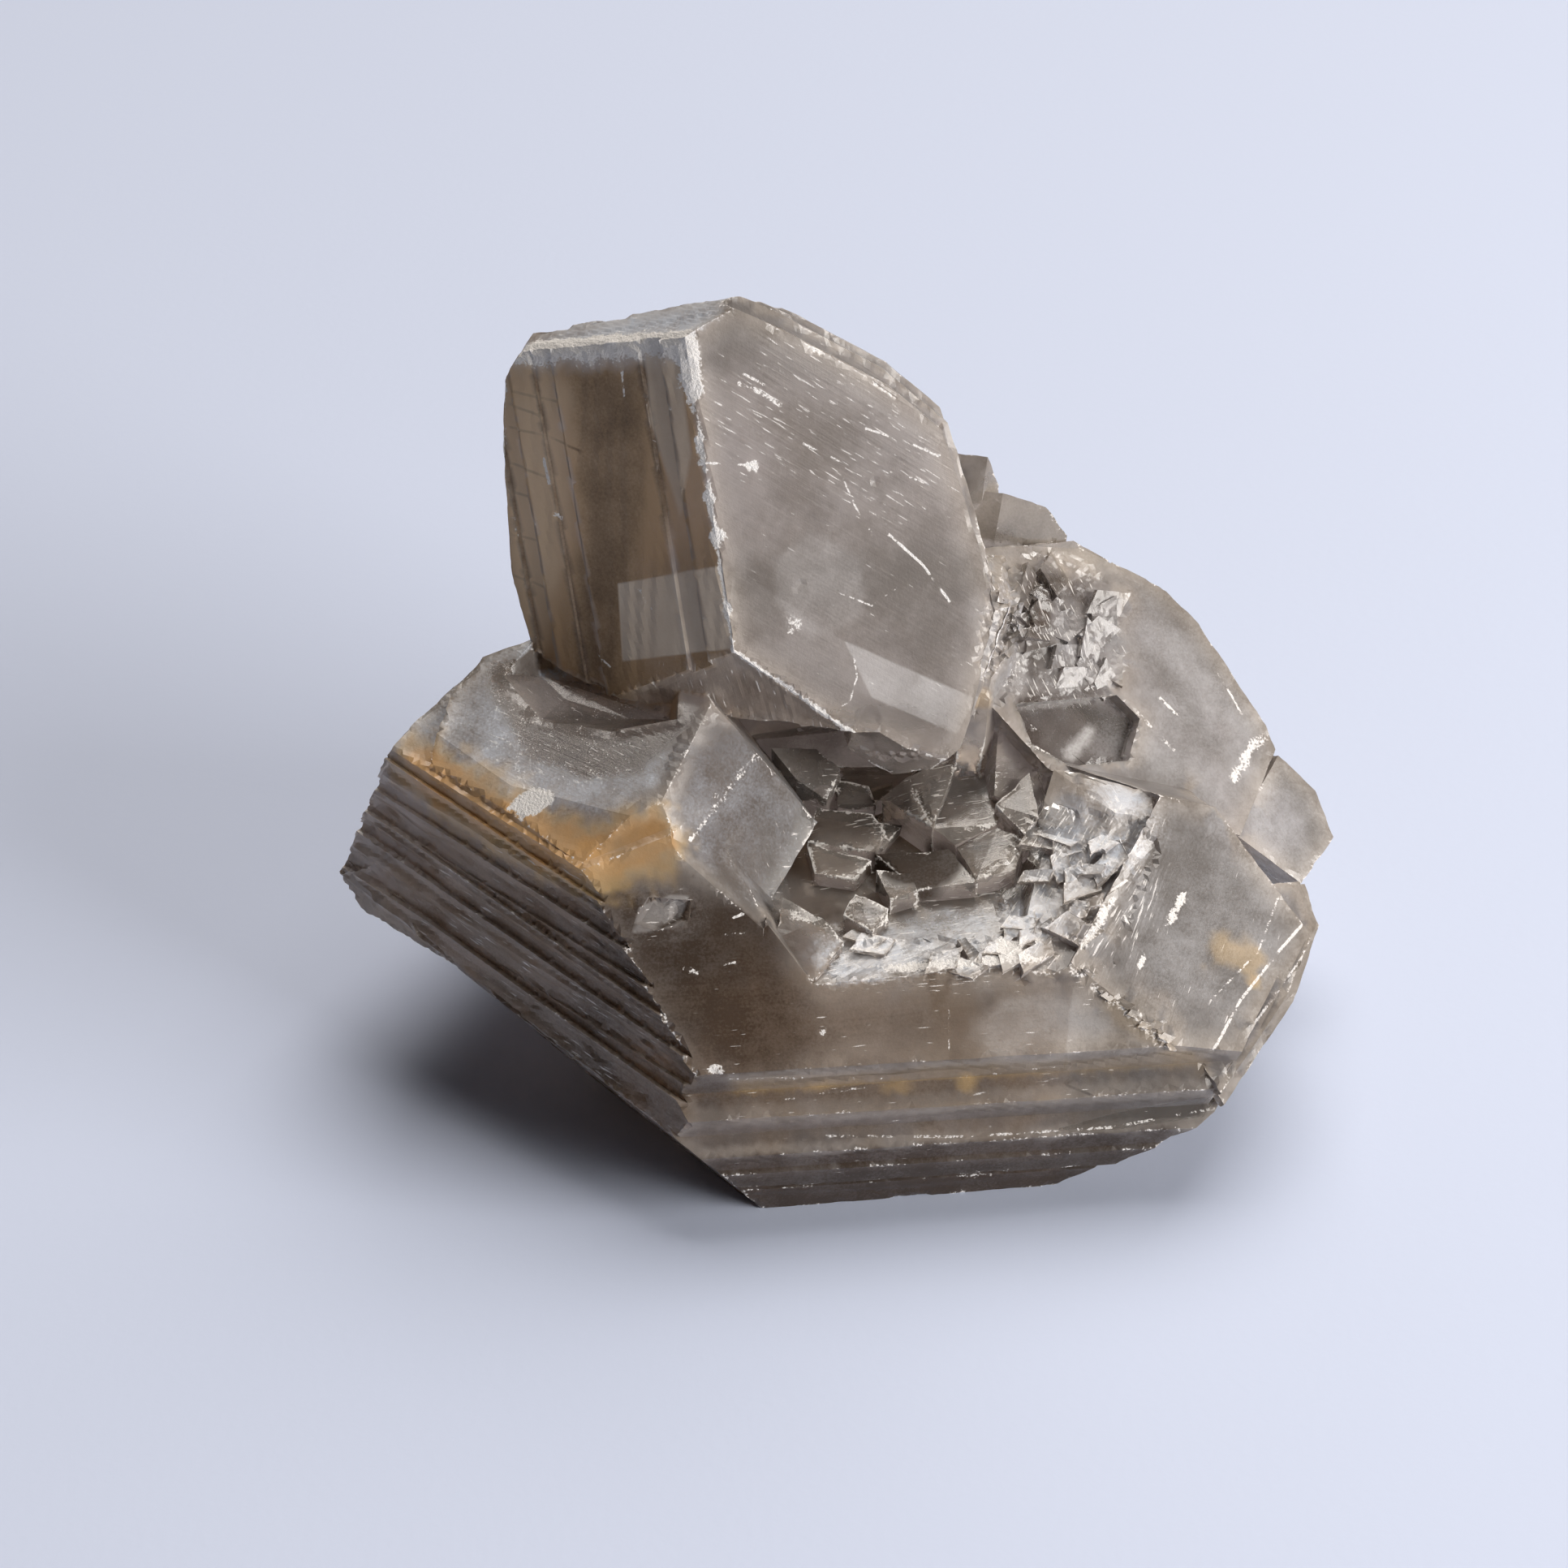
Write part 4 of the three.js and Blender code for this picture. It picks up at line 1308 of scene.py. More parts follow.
SHOULDER_EDGE: Chain = ((4.9, 12.1, 72.9), (10.9, 11.7, 67.5), (13.5, 9.2, 60), (17, 5.5, 49))

# Middles and reaches of the areas that several tones share.
BLOCK: Area = ((-8.5, -8, 34), (9, 10, 8.5))
HEART: Area = ((8, -8.7, 27), (5, 3.6, 3.2))
BROKEN_LEAN: Area = ((23.5, 13, 40.5), (7.5, 9, 7))
RIGHT_FIELD: Area = ((36, -12, 24), (15, 13, 9))
LEANER: Area = ((36, 12, 33), (16, 16, 14))
LEAN_TIP: Area = ((49, 7, 21), (6, 8, 8))
REAR_CRYSTALS: Area = ((22, 27, 46), (12, 9, 9))
TOP_STRIP: Area = ((-17, 15, 76), (15, 8, 5))
UPPER_SIDE: Area = ((-25, 6, 57), (19, 16, 28))
LEFT_MARGIN: Area = ((-30, 12, 58), (4, 7, 20))
SCAR_FIELD: Area = ((-17, -20, 31), (4.5, 3, 3))

BRUISES: tuple[Patch, ...] = (
    # Bruised white edges, widest where the upper crystal's two big faces meet its top.
    Seam(Tone.FROST, ((-14.5, 8, 78), (-13.8, 6.1, 73.2)), 1.4, 1, 0.3),
    Seam(Tone.FROST, ((-13.8, 6.1, 73.2), (-10, -3.5, 50)), 0.35, 0.9, 0.48),
    Cloud(Tone.FROST, (-13.1, 4.3, 68.7), (0.6, 0.8, 1.2), 0.9, None, 0.6, 0.5),
    Cloud(Tone.FROST, (-12.3, 2.2, 63.7), (1, 0.8, 0.9), 0.9, None, 0.6, 0.5),
    Cloud(Tone.FROST, (-11.5, 0.9, 60.3), (1.1, 0.8, 0.9), 0.9, None, 0.6, 0.5),
    Cloud(Tone.FROST, (-10.6, -1.8, 54), (0.8, 0.7, 1.2), 0.9, None, 0.6, 0.5),
    Seam(Tone.FROST, TOP_RIM, 1.5, 1, 0.3),
    Seam(Tone.FROST, TOP_RIM, 3, 0.3, 0.4),
    Seam(Tone.FROST, LEFT_EDGE, 0.5, 0.7, 0.35),
    Seam(Tone.PALE, ((-31, 16, 71.5), (-14.5, 8, 77.2)), 1.9, 0.7, 0.3),
    Seam(Tone.FROST, ((-10, -3.5, 50), (2, -4, 40), (10.5, -3, 35)), 0.45, 0.8, 0.45),
    Seam(Tone.FROST, SHOULDER_EDGE, 0.6, 0.8, 0.5),
    Seam(Tone.FROST, LEFT_RIDGE, 0.35, 0.5, 0.6),
    Seam(Tone.UMBER, LEFT_RIDGE, 3, 0.5, 0.2),
    Seam(Tone.FROST, ((-11, -32.5, 15), (38, -26.5, 14.5)), 0.35, 0.7, 0.45),
    Seam(Tone.FROST, ((21.9, -19.9, 24.8), (33, -24.7, 17.2), (38, -26.5, 14.5)), 0.45, 0.5, 0.5),
    Seam(Tone.FROST, ((-4, -17, 28), (5, -21, 25), (21.9, -19.9, 24.8)), 0.75, 0.55, 0.45),
    Seam(Tone.FROST, ((-14, -13.9, 35), (-16.8, -12.6, 38.8), (-12.3, -3.3, 42.7)), 0.25, 0.45, 0.3),
    Seam(Tone.FROST, ((-14, -13.9, 35), (-7.7, -4.5, 38.3), (-2, -2.6, 29)), 0.22, 0.42, 0.2),
    Seam(Tone.FROST, ((41.7, 7.2, 26), (44.2, 11.5, 27.5), (46.5, 14, 26.5)), 0.7, 0.6, 0.5),
    Cloud(Tone.FROST, (17.2, -18.8, 25.3), (1.6, 1.2, 1.1), 0.7, None, 0.4, 0.6),
    Seam(Tone.FROST, SWEEP_CREST, 2.6, 0.25, 0.35, UPWARD),
    Cloud(Tone.FROST, *BROKEN_LEAN, 0.16, None, 0.5, 0.4),
    # Partly white flaws and partly painted glints: a light scatter of white over the hollow, for the sparkle
    # of its shards.
    Cloud(Tone.FROST, (7, -8, 29), (14, 13, 7), 0.17, None, 0.5, 0.6),
    Cloud(Tone.FROST, (16, 9, 45), (3, 7, 8), 0.25, None, 0.4, 0.5),
    Cloud(Tone.FROST, (-4, -0.8, 51.3), (1, 0.9, 0.9), 0.55, None, 0.7, 0.8),
    Cloud(Tone.FROST, (-8, 4.7, 65.9), (0.7, 0.6, 0.6), 0.8, None, 0.5, 0.5),
    Cloud(Tone.FROST, (-1.8, 11.1, 75.1), (0.9, 0.8, 0.7), 0.8, None, 0.5, 0.5),
    Cloud(Tone.FROST, (-29.7, -11, 37.4), (2.3, 1.1, 1.4), 1, None, 0.45, 0.25),
    Cloud(Tone.FROST, (-27, -4, 40.5), (11, 10, 4), 0.27, MILKY, 0.6, 0.8),
    # White flakes and ragged flaws on the front and right faces.
    Cloud(Tone.FROST, (-11.5, -29.3, 19.1), (0.9, 0.6, 0.5), 0.6, None, 0.6, 0.5),
    Cloud(Tone.FROST, (-14, -23.4, 26.5), (1.2, 0.5, 0.4), 0.5, None, 0.6, 0.5),
    Cloud(Tone.FROST, (-1.2, -26.2, 21.2), (0.6, 0.4, 0.3), 0.6, None, 0.6, 0.5),
    Cloud(Tone.FROST, (-1.9, -28.3, 18.8), (0.3, 0.3, 0.3), 0.9, None, 0.2, 0.4),
    Seam(Tone.FROST, ((24.4, -18, 25.3), (27.4, -13.6, 27.1)), 0.6, 0.7, 0.5),
    Seam(Tone.FROST, ((33, -14.1, 24.6), (34.6, -11.3, 25.8)), 0.4, 0.75, 0.45),
    Seam(Tone.FROST, ((29.9, -18.5, 22.8), (30.5, -17.4, 23.4)), 0.35, 0.8, 0.3),
    Cloud(Tone.FROST, *HEART, -1, None, 0.1, 0.2),
    Veil(Tone.FROST, SCAR, 0.18),
)

SCRATCHES: tuple[Patch, ...] = tuple(
    Stroke(Tone.FROST, chain, facing, 0.7 * wide, 0.85 * weight)
    for facing, wide, weight, chain in (
        (UPPER_RIGHT, 0.13, 0.9, ((5.3, 5.4, 57.5), (8.6, 5, 54.3), (11.3, 4.2, 50.5))),
        (UPPER_RIGHT, 0.08, 0.6, ((0.8, 6.4, 63.1), (2, 5.6, 60.5), (3.5, 5, 58.1))),
        (UPPER_RIGHT, 0.1, 0.7, ((-3, 6.9, 66.9), (0.5, 7.1, 64.8))),
        (UPPER_RIGHT, 0.28, 0.6, ((-9.3, 7.6, 73.2), (-7.3, 7.8, 72.2), (-5.3, 7.8, 70.7))),
        (UPPER_RIGHT, 0.12, 0.8, ((-0.1, 11.4, 74.6), (1.9, 11.3, 72.7))),
        (UPPER_RIGHT, 0.1, 0.8, ((7.6, 9.7, 65.1), (10, 9.9, 63.7), (12.4, 11.1, 64.5))),
        (UPPER_RIGHT, 0.1, 0.7, ((5.2, 8, 63.2), (8.8, 8.5, 61.5))),
        (UPPER_RIGHT, 0.09, 0.8, ((-13.3, 3.3, 67.1), (-8.2, 4.6, 66))),
        (UPPER_RIGHT, 0.07, 0.6, ((0.9, 1.7, 53), (3.6, 2, 51.5), (5.9, 3.3, 52.6))),
        (UPPER_RIGHT, 0.09, 0.7, (
            (1.8, -0.6, 47.4), (2.2, -1.4, 45.4), (1.5, -2.6, 43.3), (0.6, -3.1, 43),
        )),
        (UPPER_RIGHT, 0.14, 0.8, ((3.7, 11.1, 71.1), (5.8, 11.1, 69.4))),
        (UPPER_RIGHT, 0.12, 0.8, ((2.9, 9.1, 67.3), (4.9, 9.4, 66.4))),
        (UPPER_RIGHT, 0.14, 0.8, ((-5.3, 11, 77.5), (-3.6, 11.1, 76.4))),
        (UPPER_RIGHT, 0.12, 0.7, ((-8.7, 8.1, 73.9), (-7, 8.2, 72.8))),
        (UPPER_LEFT, 0.22, 0.8, ((-28.6, 11.2, 62.5), (-28.1, 10.2, 60.3))),
        (UPPER_LEFT, 0.1, 0.8, ((-19.1, 2.6, 52.7), (-18.6, 2, 51.7), (-17.7, 1.3, 51.1))),
        (UPPER_LEFT, 0.12, 0.7, ((-23.9, 3, 45.2), (-22.3, 1.8, 44.2))),
        (UPPER_LEFT, 0.25, 0.8, ((-28.2, 9.4, 57.5), (-27.2, 8.8, 57.4))),
        (UPPER_LEFT, 0.1, 0.7, ((-20.6, 9.9, 72.8), (-20.4, 9.2, 70.9))),
        (RIGHT, 0.12, 0.8, ((26.8, -13.1, 27.6), (29, -11.4, 27.9))),
        (RIGHT, 0.15, 0.8, ((28.3, -14.2, 26.3), (29, -15.2, 25.4))),
        (RIGHT, 0.1, 0.7, ((34, -12.2, 25.5), (34.9, -11.1, 25.9))),
        (RIGHT, 0.1, 0.7, ((29.9, -18.5, 22.9), (30.3, -17.5, 23.4))),
        (RIGHT, 0.1, 0.6, ((37, -19.7, 19.4), (42.2, -14.3, 21), (44.6, -8.9, 23.6))),
        (RIGHT, 0.16, 0.8, (
            (37, -23.7, 16.3), (40.1, -18.9, 18.7), (44.4, -13.7, 20.6), (47.2, -9.6, 20.9),
        )),
        (RIGHT, 0.12, 0.7, ((38.6, -23.7, 14), (43.5, -17.5, 17.5), (48.2, -10.3, 18.3))),
        (LEAN, 0.2, 0.8, ((34, 11.6, 33.2), (35.7, 10.8, 31.7))),
        (LEAN, 0.12, 0.7, ((40.5, 16.5, 32.8), (42, 15, 31), (43, 13.7, 29.6))),
        (LEAN, 0.25, 0.5, ((31.4, 9.2, 33.6), (33.5, 8.2, 31.2), (35.3, 7.3, 29.7))),
        (FRONT, 0.14, 0.55, (
            (-0.9, -29.6, 10.5), (12, -28.7, 9.5), (21.7, -27.6, 9.2), (27.6, -26.9, 9.1), (37.2, -25, 9.7),
        )),
        (FRONT, 0.1, 0.4, ((-5, -29, 14.8), (4, -27.4, 15.2), (13.1, -26.2, 15.3), (22.2, -25.3, 15.7))),
        (FRONT, 0.08, 0.45, ((11, -23.1, 22.8), (11, -26.3, 19.1))),
        (FRONT, 0.12, 0.8, ((-10.7, -20.9, 28.9), (-9, -20.6, 28.9))),
        (FRONT, 0.12, 0.8, ((-9.8, -19.7, 30.1), (-9.2, -19.5, 30.2))),
        (FRONT, 0.09, 0.7, ((-11.1, -22.8, 26.6), (-9.8, -22.5, 26.8))),
        (FRONT, 0.08, 0.5, ((-10.2, -29.3, 17.8), (5.6, -27.7, 16.4), (23.1, -27.9, 15.2))),
    )
)

CRACKS: tuple[Patch, ...] = tuple(
    Stroke(Tone.UMBER, chain, facing, 0.07, 0.6)
    for facing, chain in (
        (UPPER_LEFT, ((-31.5, 14.9, 68), (-27.2, 12.4, 68.3))),
        (UPPER_LEFT, ((-31.7, 14.7, 66.6), (-29, 13.1, 66.5))),
        (UPPER_LEFT, ((-32, 14, 64.4), (-28.4, 11.9, 64.8), (-25, 10, 64.3))),
        (UPPER_LEFT, ((-32.3, 13, 61), (-28.5, 10.8, 60.8))),
        (UPPER_LEFT, ((-32.6, 12.2, 58.2), (-30.4, 10.9, 58.3))),
        (UPPER_LEFT, ((-32.8, 11.2, 54), (-29.5, 9.3, 54.2))),
        (UPPER_LEFT, ((-32.4, 9.7, 50.1), (-29, 7.7, 49.8))),
        (FRONT, ((22.5, -25.6, 17.5), (22.7, -26, 13.9), (25, -26.4, 13))),
    )
)

CLOUDS: tuple[Patch, ...] = (
    # The milky crystal on the left, its clear foot beside the standing crystal, and the silky sweep round
    # the hollow.
    Cloud(Tone.MILK, (-30, -3, 41), (14, 13, 6), 0.66, MILKY),
    Veil(Tone.MILK, RECESS, -0.9, 0.8, 4),
    Veil(Tone.CLEAR, RECESS, 0.8, 0.8, 4),
    Veil(Tone.UMBER, RECESS, 0.42, 0.8, 4),
    Cloud(Tone.UMBER, (-22, -6, 40.5), (8, 6.5, 4), 0.32, MILKY, 0.6, 0.9),
    # Partly milky haze and partly painted reflection: the bluish milk on the top strip stands in for the sky
    # that it mirrors.
    Cloud(Tone.MILK, *TOP_STRIP, 0.95, STRIP),
    Seam(Tone.MILK, SILKY_SWEEP, 4.2, 0.8, 0.15, UPWARD),
    Cloud(Tone.MILK, (26, -7, 30), (6, 7, 4), 0.3),
    Cloud(Tone.MILK, (37, -12, 24), (15, 13, 9), 0.08, RIGHT),
    Cloud(Tone.MILK, *LEANER, 0.06),
    Cloud(Tone.MILK, *LEAN_TIP, 0.1),
    # Paler, hazier parts, mostly to the right, with a painted highlight in the lens and a partly painted sky
    # reflection on the top strip.
    Cloud(Tone.PALE, (20, -24, 19.5), (7, 3.5, 4), 0.35),
    Cloud(Tone.PALE, *RIGHT_FIELD, 0.14),
    Cloud(Tone.PALE, *LEANER, 0.24),
    Cloud(Tone.PALE, *LEAN_TIP, 0.12),
    Cloud(Tone.PALE, (16, 9, 45), (4, 8, 9), 0.45),
    # Painted highlight: a pale streak low in the lens recess, for the spot of light that it catches.
    Seam(Tone.PALE, ((24.1, 3.9, 31.7), (26.5, 7, 32.5)), 0.8, 0.7, 0.1),
    Seam(Tone.PALE, MILKY_CREASE, 3, 0.5, 0.1),
    Cloud(Tone.PALE, *REAR_CRYSTALS, 0.5),
    Cloud(Tone.CLEAR, *REAR_CRYSTALS, 0.8),
    Cloud(Tone.IRON, *REAR_CRYSTALS, 0.22),
    # Partly haze and partly painted reflection: the top strip is made paler for the sky that it mirrors.
    Cloud(Tone.PALE, *TOP_STRIP, 0.35, STRIP),
    Cloud(Tone.PALE, *LEFT_MARGIN, 0.25, LEFTWARD),
    # Iron stain between the milky crystal's crease and its rim, and a yellow spot on the right.
    Seam(Tone.IRON, MILKY_CREASE + ((-18, -15.6, 36.2),), 4, 0.95, 0.05),
    Veil(Tone.IRON, WINDOW, 0.32),
    Veil(Tone.IRON, WEDGE, 0.3, 0.2),
    Cloud(Tone.IRON, *LEFT_MARGIN, 0.3, LEFTWARD),
    Cloud(Tone.IRON, (38.6, -15.5, 21.6), (2.6, 2.4, 2), 0.55, None, 1.9, 0.9),
    Cloud(Tone.IRON, (6.1, -27.4, 14.9), (1.5, 0.9, 0.8), 0.45, None, 1, 0.7),
    Cloud(Tone.IRON, (12.7, -26.6, 14.8), (1.3, 0.9, 1), 0.45, None, 1, 0.7),
    Cloud(Tone.IRON, (-2.3, -28, 15.8), (1.5, 0.9, 0.7), 0.4, None, 1, 0.7),
    Seam(Tone.IRON, ((26.6, -22.2, 21.4), (30.2, -23.9, 18.7), (36, -24.4, 14.6)), 1.2, 0.3, 0.5),
    Cloud(Tone.IRON, (41.6, -17, 19.4), (0.9, 0.9, 0.9), 0.7, None, 0.5, 0.8),
    Cloud(Tone.IRON, (14.9, 2.8, 39.4), (1.2, 1.2, 1.1), 0.5, None, 0.5, 0.8),
    Veil(Tone.IRON, OCHRE_BAND, 0.28, 1.2, 4),
    # Smoke: dark cores in the upper left face, the left of the front face and the hollow. The left face
    # darkens
    # towards its bottom. Painted shade: faces that look down, faces near the floor and the gap under the
    # standing crystal are made darker.
    Veil(Tone.UMBER, UPPER_CORE, 0.6, 1.8),
    Veil(Tone.UMBER, FRONT_CORE, 0.95, 3, 4),
    Cloud(Tone.UMBER, (-25.5, 8, 58), (10, 13, 26), 0.7, (0.3, -0.86, 0.4), 0, 0.1),
    Cloud(Tone.UMBER, *BLOCK, 0.66, None, 0.3, 0.3),
    Cloud(Tone.UMBER, (-12, -7.5, 40), (6, 6, 3.5), 0.42),
    Cloud(Tone.MILK, *BLOCK, 0.16, None, 0.3, 0.4),
    Cloud(Tone.UMBER, (23.5, 13, 40.5), (7.5, 9.5, 7), 0.75),
    Cloud(Tone.UMBER, (-7, -2, 43), (13, 7, 6), 0.2, UNDER),
    Cloud(Tone.UMBER, (-3.5, 7, 68), (4.5, 3, 4), 0.2, UPPER_RIGHT),
    Cloud(Tone.TEA, (-7, -2, 43), (13, 7, 6), 0.4, UNDER),
    Cloud(Tone.UMBER, (-33, -22, 20), (24, 15, 15.5), 0.44),
    # Darker towards the bottom of the left face.
    Cloud(Tone.UMBER, (-24, -23, 12), (20, 11, 9), 0.35, LEFTWARD),
    # Painted shade: faces that look down and everything near the floor are made darker, for the shade under
    # the crystal.
    Cloud(Tone.UMBER, (0, 0, 5), (70, 50, 12), 0.7, (0, -0.3, -0.9)),
    Cloud(Tone.UMBER, (0, 0, 0), (75, 55, 8.5), 0.7),
    Cloud(Tone.UMBER, (4, -29, 3), (45, 10, 7.5), 0.85, (0.1, -0.85, -0.3)),
    Cloud(Tone.UMBER, (4, -28, 12), (45, 8, 6.5), 0.26, (0.1, -0.9, 0.2)),
    Cloud(Tone.UMBER, (6, -25, 19), (16, 9, 8), 0.38, FRONT),
    Cloud(Tone.UMBER, (-4, -26.5, 20.5), (6, 3, 3.5), 0.35, FRONT, 1.2, 0.6),
    Cloud(Tone.UMBER, (8, -25, 20.5), (3, 2.5, 2.5), 0.25, FRONT, 1.2, 0.6),
    Cloud(Tone.UMBER, *HEART, 1, None, 0.1, 0.2),
    # Painted shade: darker in the gap under the standing crystal's lower edge, where it meets the hollow.
    Cloud(Tone.UMBER, (0, 0.5, 31), (9, 7, 6), 0.6),
    Veil(Tone.UMBER, LENS, 0.95, 0.3, 3),
    # Inner cleavage sheets with clean outlines.
    Veil(Tone.UMBER, FRONT_SHEET, 0.3, 0.2),
    Veil(Tone.UMBER, BLOCK_SIDE, 0.3),
    Veil(Tone.PALE, WINDOW, 0.75),
    Veil(Tone.PALE, WEDGE, 0.6, 0.2),
    Veil(Tone.PALE, GHOST_SHEET, 0.24, 0.5),
    Veil(Tone.PALE, TOE_SHEET, 0.58),
    Veil(Tone.PALE, HEEL_SHEET, 0.14),
    Veil(Tone.PALE, BROW_SHEET, 0.22),
    Veil(Tone.PALE, CORNER_SHEET, 0.3),
    Veil(Tone.PALE, SCAR, 0.35),
    # The clear cleavage block, the hollow, the toe and the lens let most light through.
    Cloud(Tone.CLEAR, (-8.5, -8, 34), (9, 10, 8), 0.35),
    Cloud(Tone.CLEAR, (7, -7, 29), (15, 16, 8), 0.8),
    Cloud(Tone.CLEAR, (4, -3, 39), (8, 4, 4), 0.6),
    Cloud(Tone.CLEAR, (23.5, 13, 40.5), (7, 9, 7), 0.35),
    Cloud(Tone.CLEAR, *HEART, -0.7, None, 0.1, 0.2),
    Cloud(Tone.CLEAR, (-10.5, -8.7, 35), (8.5, 9, 8), -0.9, None, 0.1, 0.2),
    Veil(Tone.CLEAR, LENS, 0.8, 0.3, 3),
    Veil(Tone.CLEAR, LEDGE_END, 0.8),
    # Warm tea-brown haze in the upper left face and the left face.
    Cloud(Tone.TEA, *UPPER_SIDE, 0.88, LEFTWARD, 0.1, 0.15),
    Cloud(Tone.TEA, (-27.5, 8, 57), (12.5, 14, 27), 0.85, (-0.1, -0.9, 0.35), 0, 0.1),
    Cloud(Tone.TEA, (-31, -20, 22), (26, 18, 15), 0.5, (-0.56, -0.8, 0.21)),
    Cloud(Tone.TEA, (1, 4, 58), (24, 12, 26), 0.1, UPPER_RIGHT),
    Cloud(Tone.TEA, (4, -26, 19), (24, 9, 9), 0.4, FRONT, 0.9, 0.9),
    # Faces etched dull, which keep no shine.
    Cloud(Tone.ETCH, *BLOCK, 0.9, None, 0.2, 0.3),
    Cloud(Tone.ETCH, *HEART, 1, None, 0.1, 0.2),
    Cloud(Tone.ETCH, *SCAR_FIELD, 0.9, None, 0.3, 0.4),
    Cloud(Tone.ETCH, *UPPER_SIDE, 0.6, LEFTWARD, 0.1, 0.15),
    # Short white flaws along the grain.
    Cloud(Tone.WISP, (1, 5, 56), (22, 14, 26), 0.3, UPPER_RIGHT),
    Cloud(Tone.WISP, (2, 9, 69), (16, 8, 11), 0.75, UPPER_RIGHT),
    Cloud(Tone.WISP, (-33, -20, 22), (22, 13, 14), 0.8, LEFTWARD),
    Cloud(Tone.WISP, *TOP_STRIP, 0.35, STRIP),
    # Partly white flaws and partly painted glints: dashes over the hollow, for the sparkle of its shards.
    Cloud(Tone.WISP, (7, -7, 29), (15, 14, 8), 0.6),
    Cloud(Tone.WISP, *HEART, -1, None, 0.1, 0.2),
    Cloud(Tone.WISP, (-28, -3, 41), (13, 11, 5), 0.5, MILKY),
    Cloud(Tone.WISP, (24, -12, 27.5), (10, 13, 6), 1),
    Cloud(Tone.WISP, (9, -20, 25), (12, 4, 3), 1),
    Cloud(Tone.WISP, *RIGHT_FIELD, 0.2),
    Cloud(Tone.WISP, (-7, -2, 43), (13, 7, 7), 0.7, UNDER),
    Cloud(Tone.WISP, (6, -28, 10), (40, 6, 6), 0.22),
    Cloud(Tone.WISP, (6, -25, 20), (34, 9, 9), 0.3, FRONT),
    Cloud(Tone.WISP, *SCAR_FIELD, 0.5, None, 0.3, 0.4),
    Cloud(Tone.WISP, *BROKEN_LEAN, 0.8),
)

PATCHES: tuple[Patch, ...] = BRUISES + SCRATCHES + CRACKS + CLOUDS


@dataclass(frozen=True)
class Guide:
    """One straight piece of a line that the skin is cut along.

    Attributes:
        spots: Points on it, one a row.
        way: The direction that it runs in.
        sides: How far to each side of it points are set.
    """

    spots: np.ndarray
    way: np.ndarray
    sides: tuple[float, ...]


@dataclass(frozen=True)
class Sheet:
    """One flat outline of the solid, laid out in its own plane.

    Attributes:
        middle: The mean of its corners.
        normal: The direction that it faces.
        axes: The plane's two directions, as columns.
        corners: Its corners in the plane.
        low: The least of them each way.
        high: The greatest of them each way.
    """

    middle: np.ndarray
    normal: np.ndarray
    axes: np.ndarray
    corners: np.ndarray
    low: np.ndarray
    high: np.ndarray

    @classmethod
    def through(cls, places: np.ndarray, normal: np.ndarray) -> "Sheet":
        """Lay an outline out in its plane.

        Args:
            places: Its corners in space.
            normal: The direction that it faces.

        Returns:
            The flat outline.
        """
        axes = np.stack(flat_axes(normal), 1)
        middle = places.mean(0)
        flat = (places - middle) @ axes
        return cls(middle, normal, axes, flat, flat.min(0), flat.max(0))


